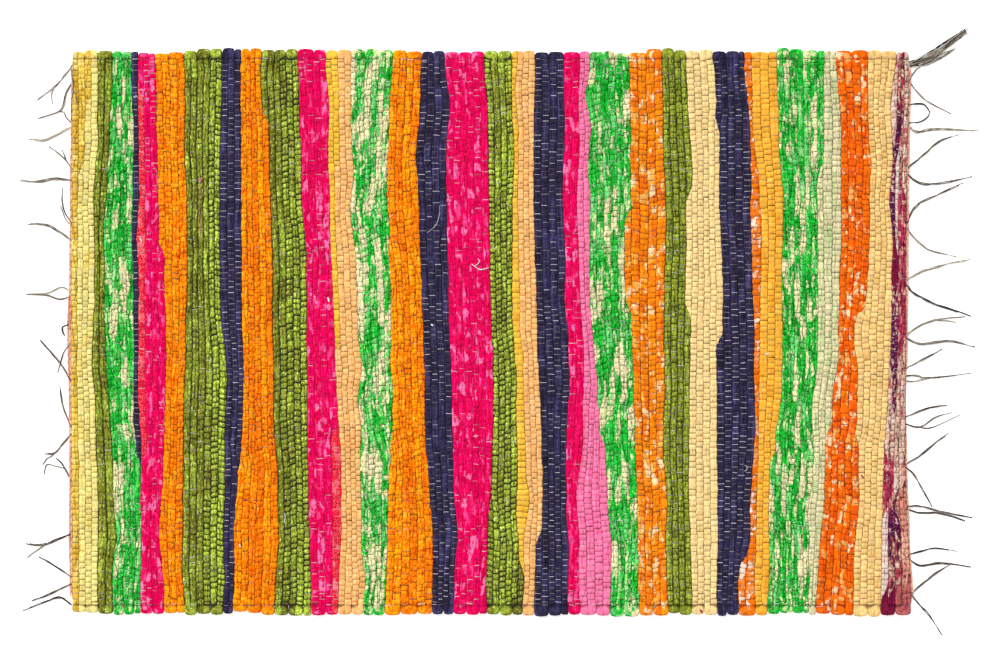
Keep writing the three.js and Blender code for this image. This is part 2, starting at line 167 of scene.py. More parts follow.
# Crowns of the loops along the two long sides: x, top, bottom.
CROWNS = (
    (-437.3, 300.0, -298.6), (-416.0, 301.1, -301.8), (-384.0, 300.0, -301.8), (-354.1, 297.4, -301.2),
    (-334.9, 298.4, -300.2), (-313.6, 302.7, -301.8), (-298.7, 303.8, -301.8), (-266.7, 302.2, -299.1),
    (-232.5, 302.2, -302.3), (-213.3, 302.7, -303.9), (-170.7, 301.6, -302.8), (-149.3, 302.2, -301.0),
    (-112.0, 302.2, -302.8), (-80.0, 299.0, -302.8), (-53.3, 300.0, -301.8), (-29.9, 299.0, -301.8),
    (-10.7, 300.0, -301.0), (10.7, 301.1, -302.8), (53.3, 299.3, -303.9), (85.3, 300.0, -301.8),
    (108.8, 299.5, -302.3), (125.9, 300.6, -304.2), (142.9, 297.9, -304.4), (160.0, 299.5, -302.3),
    (181.3, 302.9, -301.8), (213.3, 300.6, -301.2), (250.7, 301.1, -302.8), (282.7, 299.0, -302.8),
    (313.6, 303.2, -300.7), (336.0, 301.6, -300.7), (362.7, 300.0, -301.2), (394.7, 302.2, -303.9),
    (421.3, 300.6, -302.3), (442.7, 299.0, -301.8),
)

# How each cloth behaves as a rag. pinch: depth of the dent under a warp
# thread; shoulder: how far the dent reaches along the rag; drop: how round the
# top is; flat: half of the flat top as a share of the width; side: height of
# the groove between two picks; groove: how much painted shade darkens it;
# rough: unevenness from bulge to bulge; neck: how much narrower a dent is;
# stitch: share of the dents where the warp thread shows; lift: how far it stands
# up; tones: the light and dark thread tones and the share of light ones; where
# the tones are mostly dark, on the pale and orange rags, they are partly painted
# shade in the pinches.
RAG = {
    "brick": dict(pinch=0.85, shoulder=0.62, drop=0.45, flat=0.42, side=3.9, groove=1.0, rough=0.55,
                  neck=0.12, stitch=0.55, lift=-0.04, tones=(0.55, 0.05, 0.04)),
    "bead": dict(pinch=2.3, shoulder=1.2, drop=1.0, flat=0.33, side=2.9, groove=1.0, rough=0.75,
                 neck=0.16, stitch=0.16, lift=-0.06, tones=(0.80, 0.10, 0.4)),
    "cord": dict(pinch=0.9, shoulder=1.0, drop=1.0, flat=0.33, side=3.0, groove=1.0, rough=0.6,
                 neck=0.08, stitch=0.34, lift=-0.02, tones=(0.72, 0.12, 0.5)),
    "smooth": dict(pinch=0.60, shoulder=0.90, drop=0.50, flat=0.42, side=4.6, groove=0.9, rough=0.32,
                   neck=0.03, stitch=0.82, lift=0.06, tones=(0.94, 0.30, 0.36)),
    "silky": dict(pinch=0.45, shoulder=0.90, drop=0.35, flat=0.43, side=5.0, groove=0.6, rough=0.40,
                  neck=0.03, stitch=0.15, lift=0.0, tones=(0.80, 0.40, 0.6)),
    "crumpled": dict(pinch=0.8, shoulder=0.75, drop=0.5, flat=0.40, side=4.2, groove=0.95, rough=0.95,
                     neck=0.10, stitch=0.28, lift=-0.04, tones=(0.5, 0.03, 0.04)),
    "matted": dict(pinch=0.85, shoulder=1.0, drop=0.5, flat=0.42, side=4.8, groove=0.8, rough=1.0,
                   neck=0.05, stitch=0.16, lift=-0.02, tones=(0.88, 0.12, 0.5)),
}
# Picks whose rag is rolled into a tight cord and between which heights, and
# how light single picks are.
CORDS = {4: (-300, 300), 5: (-300, 300), 18: (-300, 300), 19: (-300, 300), 20: (-300, 300), 21: (-60, 300),
         31: (-300, 300), 32: (-300, 300), 33: (20, 300), 66: (140, 300), 67: (190, 300), 91: (-300, 300), 93: (-300, 300)}
LIGHTNESS = {4: 0.3, 5: 0.3, 18: 0.4, 19: 0.38, 20: 0.25, 21: 0.45, 22: 0.7, 23: 0.82, 31: 0.25, 32: 0.3, 33: 0.38,
             34: 0.5, 35: 0.6, 36: 0.68, 65: 0.68, 66: 0.42, 67: 0.6, 68: 0.66, 14: 0.45, 15: 0.5, 16: 0.6, 17: 0.4,
             6: 0.5, 7: 0.55, 8: 0.55, 9: 0.35, 45: 0.8, 46: 0.7, 47: 0.6, 48: 0.6, 49: 0.8, 50: 0.85, 81: 0.4,
             82: 0.25, 83: 0.3, 84: 0.35, 85: 0.45, 86: 0.7, 108: 0.35, 109: 0.35, 110: 0.4, 111: 0.3, 112: 0.4,
             113: 0.6, 11: 0.8, 12: 0.5, 13: 0.45, 37: 0.5, 38: 0.5, 39: 0.45, 40: 0.6, 59: 0.25, 60: 0.5, 61: 0.6,
             62: 0.2, 63: 0.3, 64: 0.5, 77: 0.4, 78: 0.3}
STYLE = {
    "yellow": "brick", "butter": "brick", "gold": "brick", "peach": "brick",
    "cream": "brick", "custard": "brick", "amber": "brick", "pink": "brick",
    "sage": "brick", "olive": "bead", "moss": "cord", "navy": "smooth",
    "magenta": "silky", "scarlet": "silky", "orange": "crumpled",
    "spotted": "crumpled", "printed": "crumpled", "flecked": "crumpled",
    "green": "matted", "rose": "crumpled", "wine": "crumpled",
    "plum": "smooth", "garnet": "silky", "crimson": "silky", "blush": "brick", "dusty": "crumpled",
    "shell": "brick",
}
PIECE = {   # which visible piece a cloth is part of
    "yellow": "rags_pale", "butter": "rags_pale", "gold": "rags_pale",
    "peach": "rags_pale", "cream": "rags_pale", "custard": "rags_pale",
    "amber": "rags_pale", "sage": "rags_pale", "olive": "rags_olive",
    "moss": "rags_olive", "navy": "rags_navy", "magenta": "rags_pink",
    "scarlet": "rags_pink", "pink": "rags_pink", "orange": "rags_orange",
    "spotted": "rags_orange", "printed": "rags_orange", "flecked": "rags_orange",
    "green": "rags_green", "rose": "rags_maroon", "wine": "rags_maroon",
    "plum": "rags_maroon", "crimson": "rags_maroon", "blush": "rags_maroon",
    "garnet": "rags_maroon", "dusty": "rags_maroon", "shell": "rags_maroon",
}

# ------------------------------------------------------------------ fringe
# root out, root y, knee out, knee y, middle out, middle y, tip out, tip y,
# width: "out" is measured outwards from the nominal end line.
TUFTS = {
    -1: [
        (-2, 285.3, 4.6, 274.1, 16.6, 260.6, 36.1, 246.1, 2.1),
        (15.1, 262.4, 18.3, 254.9, 18.5, 250.7, 17.9, 243.5, 1.1),
        (-2, 268.8, 3.0, 254.9, 8.7, 237.3, 32.7, 228.0, 2.1),
        (-2, 221.9, 3.0, 229.3, 5.3, 234.7, 10.8, 235.7, 1.4),
        (-2, 219.8, 8.7, 213.3, 26.8, 204.8, 44.6, 206.5, 3.2),
        (-2, 173.9, 2.9, 183.2, 11.9, 191.5, 21.7, 198.4, 1.5),
        (2.6, 181.3, 3.9, 186.7, 6.0, 191.5, 8.0, 195.6, 1.3),
        (-2, 162.1, 14.0, 163.7, 32.1, 161.1, 51.9, 162.1, 3.4),
        (-2, 116.3, 4.4, 128.0, 7.1, 140.8, 6.5, 154.7, 1.1),
        (-2, 113.1, 3.3, 120.5, 6.5, 128.0, 8.7, 135.5, 1.1),
        (-2, 98.1, 10.8, 107.7, 24.7, 114.7, 43.9, 115.2, 2.8),
        (-2, 42.7, 7.6, 48.0, 23.6, 41.6, 46.0, 40.5, 1.7),
        (-2, 38.4, 9.7, 35.2, 24.7, 39.5, 43.9, 40.0, 1.7),
        (-2, 8.5, 6.5, 5.3, 6.5, 0.0, 4.2, -4.3, 1.7),
        (-2, -13.9, 5.5, -21.3, 8.7, -32.0, 11.9, -43.7, 1.4),
        (-2, -51.2, 8.7, -34.1, 19.3, -21.3, 31.1, -8.5, 2.1),
        (-2, -101.3, 5.5, -82.1, 8.1, -69.3, 9.7, -57.6, 1.7),
        (-2, -108.8, 6.5, -119.5, 15.1, -129.1, 25.7, -130.1, 2.1),
        (12.9, -127.5, 18.3, -132.3, 23.6, -135.5, 27.9, -141.9, 1.3),
        (-2, -160.0, 2.8, -148.3, 8.1, -139.7, 14.0, -134.4, 1.7),
        (4.4, -145.6, 15.1, -142.9, 23.6, -141.9, 26.8, -152.5, 1.3),
        (-2, -215.5, 12.9, -221.9, 28.9, -227.2, 46.0, -226.1, 2.8),
        (19.3, -224.0, 27.9, -229.3, 36.4, -234.7, 44.9, -241.1, 1.5),
        (-2, -261.3, 8.7, -253.9, 20.4, -246.4, 32.1, -240.0, 1.9),
        (-2, -268.8, 10.8, -275.2, 24.7, -281.6, 39.6, -286.9, 2.3),
        (-2, -291.3, 8.7, -283.7, 21.5, -286.4, 49.2, -297.6, 2.3),
    ],
    1: [
        (-2, 286.0, 14.0, 291.0, 32.1, 303.4, 58.5, 322.0, 4.5),
        (-2, 285.0, 19.3, 292.4, 38.5, 306.0, 61.5, 322.9, 2.6),
        (-2, 284.0, 15.1, 287.0, 30.0, 293.5, 48.0, 302.4, 2.8),
        (-2, 268.6, 1.6, 275.5, 5.8, 280.6, 10.6, 283.6, 1.2),
        (-2, 267.4, 9.7, 252.8, 20.1, 244.6, 42.8, 233.2, 1.9),
        (-2, 222.9, 8.7, 224.5, 17.2, 229.3, 20.4, 235.7, 1.6),
        (-2, 242.1, 5.5, 243.7, 14.0, 242.7, 20.4, 234.7, 1.6),
        (-2, 220.9, 5.5, 213.9, 23.6, 216.5, 72.7, 215.5, 3.2),
        (-2, 174.9, 14.0, 189.9, 30.0, 203.7, 50.3, 211.2, 2.3),
        (-2, 168.5, 7.6, 160.0, 25.7, 157.9, 65.2, 166.4, 3.0),
        (-2, 116.3, 3.3, 132.3, 19.3, 142.9, 55.6, 158.9, 2.6),
        (-2, 110.9, 6.5, 97.1, 20.4, 87.5, 48.1, 80.0, 2.3),
        (-2, 55.5, 15.1, 66.1, 38.5, 72.0, 63.1, 77.9, 2.8),
        (-2, 50.1, 5.5, 39.5, 25.7, 29.9, 64.1, 17.1, 2.8),
        (-2, -4.3, 8.7, 6.4, 30.0, 13.9, 57.7, 16.0, 2.3),
        (25.7, 12.8, 32.1, 12.3, 40.7, 11.7, 48.1, 10.1, 1.3),
        (-2, -6.4, 10.8, -12.8, 40.7, -9.6, 68.4, -16.0, 2.8),
        (-2, -39.5, 7.6, -32.0, 20.4, -25.1, 33.2, -18.1, 2.1),
        (-2, -46.9, 4.4, -46.4, 19.3, -49.1, 64.1, -43.7, 2.1),
        (-2, -52.3, 4.4, -52.8, 19.3, -49.1, 46.0, -46.9, 2.1),
        (-2, -91.7, 9.7, -84.3, 24.7, -80.0, 38.5, -77.9, 2.1),
        (-2, -98.1, 8.7, -101.3, 24.7, -91.7, 43.9, -86.4, 1.9),
        (5.5, -100.8, 15.1, -102.9, 25.7, -100.3, 52.4, -88.5, 1.2),
        (-2, -141.9, 8.7, -132.3, 24.7, -119.5, 40.7, -107.7, 2.3),
        (-2, -144.0, 2.3, -151.5, 10.8, -166.4, 22.5, -186.7, 2.3),
        (-2, -186.7, 9.7, -186.1, 32.1, -192.0, 65.2, -198.4, 2.1),
        (-2, -188.8, 8.7, -193.1, 30.0, -193.6, 57.7, -201.6, 2.1),
        (-2, -237.9, 10.8, -234.1, 24.7, -230.9, 49.2, -234.7, 1.9),
        (-2, -242.1, 9.7, -249.6, 31.1, -246.9, 64.1, -250.7, 2.3),
        (-2, -279.5, 11.9, -268.8, 25.7, -258.1, 42.8, -248.5, 2.6),
        (-2, -280.5, 9.7, -292.3, 19.3, -302.9, 33.2, -324.3, 2.3),
    ],
}

PALE_TUFTS = {(1, 286.0): 0.2, (1, 285.0): 0.1, (1, 284.0): 0.22, (-1, 219.8): 0.75, (1, 220.9): 0.5, (1, -4.3): 0.5, (-1, 162.1): 0.35}     # how pale some tufts are

# ------------------------------------------------------------------ helpers
def srgb(r, g, b):
    """A colour given as 0-255 screen values, as the linear values shaders use."""
    out = []
    for c in (r, g, b):
        c /= 255.0
        out.append(c / 12.92 if c <= 0.04045 else ((c + 0.055) / 1.055) ** 2.4)
    return tuple(out) + (1.0,)


def smoothstep(t):
    t = np.clip(t, 0.0, 1.0)
    return t * t * (3 - 2 * t)


def blur(a, sigma, axis):
    """Gaussian blur of an array along one axis, edges held."""
    r = max(1, int(math.ceil(3 * sigma)))
    k = np.exp(-0.5 * (np.arange(-r, r + 1) / sigma) ** 2)
    k /= k.sum()
    pad = [(0, 0)] * a.ndim
    pad[axis] = (r, r)
    p = np.pad(a, pad, mode="edge")
    out = np.zeros_like(a, dtype=float)
    for i, w in enumerate(k):
        sl = [slice(None)] * a.ndim
        sl[axis] = slice(i, i + a.shape[axis])
        out += w * p[tuple(sl)]
    return out


def field_noise(shape, sigmas):
    """Smooth random field with a standard deviation of one."""
    a = rng.standard_normal(shape)
    for axis, s in enumerate(sigmas):
        if s:
            a = blur(a, s, axis)
    return a / a.std()


def end_edge(side, y):
    ys = [r[0] for r in END_EDGES]
    xs = [r[1 if side < 0 else 2] for r in END_EDGES]
    y = np.clip(np.asarray(y, dtype=float), ys[-1], ys[0])
    i = np.clip(np.searchsorted(-np.array(ys), -y, side="right"), 1, len(ys) - 1)
    y0, y1 = np.array(ys)[i - 1], np.array(ys)[i]
    t = smoothstep((y - y0) / (y1 - y0))
    return np.array(xs)[i - 1] * (1 - t) + np.array(xs)[i] * t


def level_curve(values, y):
    """Catmull-Rom curve through a stripe edge's five heights."""
    v = np.array(values, dtype=float)
    u = np.interp(y, LEVELS[::-1], np.arange(len(LEVELS))[::-1].astype(float))
    i = np.clip(np.floor(u).astype(int), 0, len(v) - 2)
    t = u - i
    p = np.concatenate([[2 * v[0] - v[1]], v, [2 * v[-1] - v[-2]]])
    a, b, c, d = p[i], p[i + 1], p[i + 2], p[i + 3]
    return 0.5 * (2 * b + (c - a) * t + (2 * a - 5 * b + 4 * c - d) * t ** 2
                  + (3 * b - a - 3 * c + d) * t ** 3)


class Builder:
    """Gathers closed tubes and prisms and writes them as one mesh."""

    def __init__(self):
        self.co, self.faces, self.mat, self.uv = [], [], [], []
        self.attr = {}
        self.n = 0
        self.tubes = []

    def ring_tube(self, rings, attrs, material):
        """rings: (steps, sides, 3) in mm. attrs: name -> (steps, sides[, 3])."""
        s, k, _ = rings.shape
        base = self.n
        self.co.append(rings.reshape(-1, 3))
        i = np.arange(s - 1)[:, None]
        j = np.arange(k)[None, :]
        jn = (j + 1) % k
        quads = np.stack([base + i * k + j, base + i * k + jn,
                          base + (i + 1) * k + jn, base + (i + 1) * k + j], -1).reshape(-1, 4)
        caps = [base + np.arange(k)[::-1], base + (s - 1) * k + np.arange(k)]
        self.tubes.append((quads, caps, s, k, material))
        for name, value in attrs.items():
            value = np.asarray(value, dtype=np.float32)
            self.attr.setdefault(name, []).append(value.reshape(s * k, -1))
        self.n += s * k

    def object(self, name, materials, smooth=True, rows=None):
        co = np.concatenate(self.co) * MM
        loops, starts, mats, uvs = [], [], [], []
        at = 0
        count = len(self.tubes)
        columns = 1 if rows is None else int(math.ceil(count / rows))
        lanes = count if rows is None else rows
        names = [m.name for m in materials]
        for t, (quads, caps, s, k, material) in enumerate(self.tubes):
            lane, column = t % lanes, t // lanes
            u0, u1 = column / columns, (column + 1) / columns
            v0, v1 = lane / lanes, (lane + 1) / lanes
            du, dv = u1 - u0, v1 - v0
            body0, body1 = u0 + 0.035 * du, u1 - 0.035 * du
            low, high = v0 + 0.06 * dv, v1 - 0.06 * dv
            i = np.repeat(np.arange(s - 1), k)
            j = np.tile(np.arange(k), s - 1)
            ua = body0 + (body1 - body0) * i / (s - 1)
            ub = body0 + (body1 - body0) * (i + 1) / (s - 1)
            va = low + (high - low) * j / k
            vb = low + (high - low) * (j + 1) / k
            uvs.append(np.stack([np.stack([ua, va], -1), np.stack([ua, vb], -1),
                                 np.stack([ub, vb], -1), np.stack([ub, va], -1)], 1).reshape(-1, 2))
            loops.append(quads.reshape(-1))
            starts.append(at + 4 * np.arange(len(quads)))
            at += 4 * len(quads)
            mats.append(np.full(len(quads), names.index(material)))
            for c, cap in enumerate(caps):
                loops.append(cap)
                starts.append(np.array([at]))
                at += k
                mats.append(np.array([names.index(material)]))
                a = 2 * math.pi * np.arange(k) / k
                centre = (u0 + 0.015 * du if c == 0 else u1 - 0.015 * du, (v0 + v1) / 2)
                if c == 0:
                    a = -a
                uvs.append(np.stack([centre[0] + 0.011 * du * np.cos(a),
                                     centre[1] + 0.3 * dv * np.sin(a)], -1))
        loops = np.concatenate(loops).astype(np.int32)
        starts = np.concatenate(starts).astype(np.int32)
        mats = np.concatenate(mats).astype(np.int32)
        uvs = np.concatenate(uvs).astype(np.float32)
        mesh = bpy.data.meshes.new(name)
        mesh.vertices.add(len(co))
        mesh.vertices.foreach_set("co", co.astype(np.float32).ravel())
        mesh.loops.add(len(loops))
        mesh.loops.foreach_set("vertex_index", loops)
        mesh.polygons.add(len(starts))
        mesh.polygons.foreach_set("loop_start", starts)
        mesh.polygons.foreach_set("material_index", mats)
        mesh.polygons.foreach_set("use_smooth", np.full(len(starts), smooth))
        mesh.update(calc_edges=True)
        layer = mesh.uv_layers.new(name="OFBake")
        layer.data.foreach_set("uv", uvs.ravel())
        for key, parts in self.attr.items():
            data = np.concatenate(parts)
            if data.shape[1] == 3:
                a = mesh.attributes.new(key, "FLOAT_VECTOR", "POINT")
                a.data.foreach_set("vector", data.ravel())
            else:
                a = mesh.attributes.new(key, "FLOAT", "POINT")
                a.data.foreach_set("value", data.ravel())
        for m in materials:
            mesh.materials.append(m)
        obj = bpy.data.objects.new(name, mesh)
        bpy.context.scene.collection.objects.link(obj)
        return obj


# ------------------------------------------------------------------ materials
def node(tree, kind, inputs=None, **props):
    n = tree.nodes.new(kind)
    for k, v in props.items():
        setattr(n, k, v)
    for k, v in (inputs or {}).items():
        if isinstance(v, bpy.types.NodeSocket):
            tree.links.new(v, n.inputs[k])
        else:
            n.inputs[k].default_value = v
    return n


def fabric_shader(name, sheen=0.25):
    m = bpy.data.materials.new(name)
    m.use_nodes = True
    t = m.node_tree
    bsdf = next(n for n in t.nodes if n.type == "BSDF_PRINCIPLED")
    bsdf.inputs["Roughness"].default_value = 0.86
    bsdf.inputs["Specular IOR Level"].default_value = 0.035
    bsdf.inputs["Sheen Weight"].default_value = sheen
    bsdf.inputs["Sheen Roughness"].default_value = 0.55
    return m, t, bsdf


def stretched(t, vector, along, across, shift):
    """The rag's own coordinates, so that one noise cell is along x across mm."""
    return node(t, "ShaderNodeVectorMath", {0: node(t, "ShaderNodeVectorMath", {
        0: vector, 1: (1.0 / along, 1.0 / across, 1.0 / across)}, operation="MULTIPLY").outputs[0],
        1: (shift, shift * 0.37, -shift)}, operation="ADD").outputs[0]


def noise(t, vector, detail=2.0, rough=0.5, distort=0.0):
    return node(t, "ShaderNodeTexNoise", {"Vector": vector, "Scale": 1.0, "Detail": detail,
                                          "Roughness": rough, "Distortion": distort}).outputs["Fac"]


def ramp(t, value, low, high, to_low=0.0, to_high=1.0, smooth=True):
    return node(t, "ShaderNodeMapRange", {"Value": value, "From Min": low, "From Max": high,
                                          "To Min": to_low, "To Max": to_high},
                interpolation_type="SMOOTHSTEP" if smooth else "LINEAR").outputs["Result"]


def math_node(t, op, a, b=0.0):
    return node(t, "ShaderNodeMath", {0: a, 1: b}, operation=op).outputs[0]


def mix(t, factor, a, b, blend="MIX"):
    n = t.nodes.new("ShaderNodeMix")
    n.data_type = "RGBA"
    n.blend_type = blend
    n.clamp_factor = True
    for k, v in (("Factor", factor), ("A", a), ("B", b)):
        sock = next(s for s in n.inputs if s.name == k and s.enabled
                    and s.type == ("VALUE" if k == "Factor" else "RGBA"))
        if isinstance(v, bpy.types.NodeSocket):
            t.links.new(v, sock)
        else:
            sock.default_value = v
    return next(s for s in n.outputs if s.enabled and s.type == "RGBA")


def shade(t, colour, amount):
    """Colour times a number."""
    return node(t, "ShaderNodeVectorMath", {0: colour, "Scale": amount}, operation="SCALE").outputs[0]


def rag_material(name, base, layers, cell=0.24, tone=0.12, fine=0.52, crease_shade=0.95,
                 crease_shade_colour=None, folds=0.6, weave=0.4, sheen=0.02, wrinkle=0.62,
                 wrinkle_colour=None, specks=None, gain=1.0, streaks=0.34, tone_colour=None, groove_shade=0.9, dents=0.85, plait=0.25,
                 wide=0.2, gap=0.36, patchy=0.0):
    """layers: (colour, length, width, low, high, amount, ragged) of blotches
    along the rag; specks: (colour, low, amount) of small flecks."""
    m, t, bsdf = fabric_shader("cloth_" + name, sheen)
    rag = node(t, "ShaderNodeAttribute", attribute_name="rag").outputs["Vector"]
    cell_a = node(t, "ShaderNodeAttribute", attribute_name="cell").outputs["Fac"]
    tone_a = node(t, "ShaderNodeAttribute", attribute_name="tone").outputs["Fac"]
    groove_shade_attr = node(t, "ShaderNodeAttribute", attribute_name="groove_shade").outputs["Fac"]
    dent_a = node(t, "ShaderNodeAttribute", attribute_name="dent").outputs["Fac"]
    grain = noise(t, stretched(t, rag, 3.4, 1.7, 5.9), 3.0, 0.6, 0.5)
    threads = noise(t, stretched(t, rag, 1.5, 0.8, 3.1), 2.0, 0.6)
    streak = noise(t, stretched(t, rag, 12.0, 1.1, 7.7), 2.0, 0.5)
    colour = base
    if tone_colour:
        colour = mix(t, ramp(t, tone_a, 0.15, 0.75, 0.9, 0.0), colour, tone_colour)
    for i, (c, length, width, low, high, amount, ragged) in enumerate(layers):
        f = noise(t, stretched(t, rag, length, width, 11.3 * (i + 1)), 2.0, 0.5, 0.2)
        if ragged:
            f = math_node(t, "ADD", f, ramp(t, grain, 0.25, 0.75, -ragged, ragged, False))
        if patchy and i > 1:
            f = math_node(t, "ADD", f, ramp(t, tone_a, 0.0, 1.0, -patchy, patchy, False))
        f = math_node(t, "MULTIPLY", ramp(t, f, low, high), amount)
        colour = mix(t, f, colour, c)
    if specks:
        f = math_node(t, "MULTIPLY", ramp(t, threads, specks[1], specks[1] + 0.07), specks[2])
        colour = mix(t, f, colour, specks[0])
    v = ramp(t, cell_a, 0.0, 1.0, 1.0 - cell / 2, 1.0 + cell / 2, False)
    v = math_node(t, "MULTIPLY", v, ramp(t, tone_a, 0.0, 1.0, 1.0 - tone / 2, 1.0 + tone / 2, False))
    v = math_node(t, "MULTIPLY", v, ramp(t, threads, 0.25, 0.75, 1.0 - fine / 2, 1.0 + fine / 2, False))
    v = math_node(t, "MULTIPLY", v, ramp(t, streak, 0.3, 0.7, gain * (1.0 - streaks / 2), gain * (1.0 + streaks / 2), False))
    colour = shade(t, colour, v)
    # thin creases wander over the cloth as lines of painted shade, and every dent and groove is darkened with
    # painted shade
    line = math_node(t, "ABSOLUTE", math_node(t, "SUBTRACT", grain, 0.5))
    line = math_node(t, "MULTIPLY", ramp(t, line, 0.0, 0.05, 1.0, 0.0),
                     ramp(t, streak, 0.42, 0.62, 0.25, 1.0))
    colour = mix(t, math_node(t, "MULTIPLY", line, wrinkle), colour,
                 wrinkle_colour or crease_shade_colour, "MULTIPLY")
    uneven = noise(t, stretched(t, rag, 5.0, 60.0, 9.1), 2.0, 0.6)
    groove = math_node(t, "MULTIPLY", ramp(t, groove_shade_attr, wide, 0.88, 0.0, crease_shade * groove_shade),
                       ramp(t, uneven, 0.36, 0.56, 0.45, 1.0))
    colour = mix(t, groove, colour, crease_shade_colour, "MULTIPLY")
    colour = mix(t, ramp(t, dent_a, gap, 0.92, 0.0, crease_shade * dents), colour, crease_shade_colour, "MULTIPLY")
    # the rag's folded edge shows as a thin line of painted shade that wanders along it, over a small groove in the
    # bump
    aside = node(t, "ShaderNodeSeparateXYZ", {0: rag}).outputs["Y"]
    path = ramp(t, noise(t, stretched(t, rag, 30.0, 900.0, 31.0), 2.0, 0.5), 0.32, 0.68, -2.7, 2.7, False)
    edge = ramp(t, math_node(t, "ABSOLUTE", math_node(t, "SUBTRACT", aside, path)), 0.15, 0.85, 1.0, 0.0)
    edge = math_node(t, "MULTIPLY", edge, ramp(t, uneven, 0.40, 0.60, 0.25, 1.0))
    edge = math_node(t, "MULTIPLY", edge, node(t, "ShaderNodeAttribute", attribute_name="calm").outputs["Fac"])
    colour = mix(t, math_node(t, "MULTIPLY", edge, plait), colour, crease_shade_colour, "MULTIPLY")
    t.links.new(colour, bsdf.inputs["Base Color"])
    t.links.new(ramp(t, threads, 0.3, 0.7, 0.80, 0.95, False), bsdf.inputs["Roughness"])
    fold = noise(t, stretched(t, rag, 8.0, 1.6, 21.0), 2.0, 0.55, 0.4)
    b0 = node(t, "ShaderNodeBump", {"Height": edge, "Strength": min(1.0, 1.6 * plait), "Distance": 0.0007},
              invert=True)
    b1 = node(t, "ShaderNodeBump", {"Height": fold, "Strength": folds, "Distance": 0.0012,
                                    "Normal": b0.outputs["Normal"]})
    b2 = node(t, "ShaderNodeBump", {"Height": grain, "Strength": folds, "Distance": 0.0012,
                                    "Normal": b1.outputs["Normal"]})
    b3 = node(t, "ShaderNodeBump", {"Height": threads, "Strength": weave, "Distance": 0.0004,
                                    "Normal": b2.outputs["Normal"]})
    t.links.new(b3.outputs["Normal"], bsdf.inputs["Normal"])
    return m


def thread_material(name, dark, light, sheen=0.03, contrast=1.0):
    """A twisted cotton thread: variegated along its length, with a ply twist drawn as a bump and as painted stripes
    of shade and highlight.
    """
    m, t, bsdf = fabric_shader(name, sheen)
    rag = node(t, "ShaderNodeAttribute", attribute_name="rag").outputs["Vector"]
    tone_a = node(t, "ShaderNodeAttribute", attribute_name="tone").outputs["Fac"]
    blotch = noise(t, stretched(t, rag, 9.0, 3.0, 2.0), 2.0, 0.5)
    f = math_node(t, "ADD", tone_a, ramp(t, blotch, 0.3, 0.7, -0.22 * contrast, 0.22 * contrast, False))
    colour = mix(t, f, dark, light)
    ply = node(t, "ShaderNodeTexWave", {"Vector": node(t, "ShaderNodeVectorMath", {
        0: rag, 1: (0.9, 0.7, 0.7)}, operation="MULTIPLY").outputs[0], "Scale": 1.0,
        "Distortion": 0.6, "Detail": 1.0}, wave_type="BANDS", bands_direction="DIAGONAL").outputs["Fac"]
    # painted shade and highlight along the ply twist
    colour = shade(t, colour, ramp(t, ply, 0.0, 1.0, 0.92, 1.05, False))
    t.links.new(colour, bsdf.inputs["Base Color"])
    t.links.new(ramp(t, blotch, 0.3, 0.7, 0.78, 0.92, False), bsdf.inputs["Roughness"])
    b = node(t, "ShaderNodeBump", {"Height": ply, "Strength": 0.3, "Distance": 0.0003})
    t.links.new(b.outputs["Normal"], bsdf.inputs["Normal"])
    return m


GAIN = 0.82     # the cloth colours below are what the lit rug shows


def lit(r, g, b, gain=1.0):
    c = srgb(r, g, b)
    return tuple(min(0.95, x * GAIN * gain) for x in c[:3]) + (1.0,)
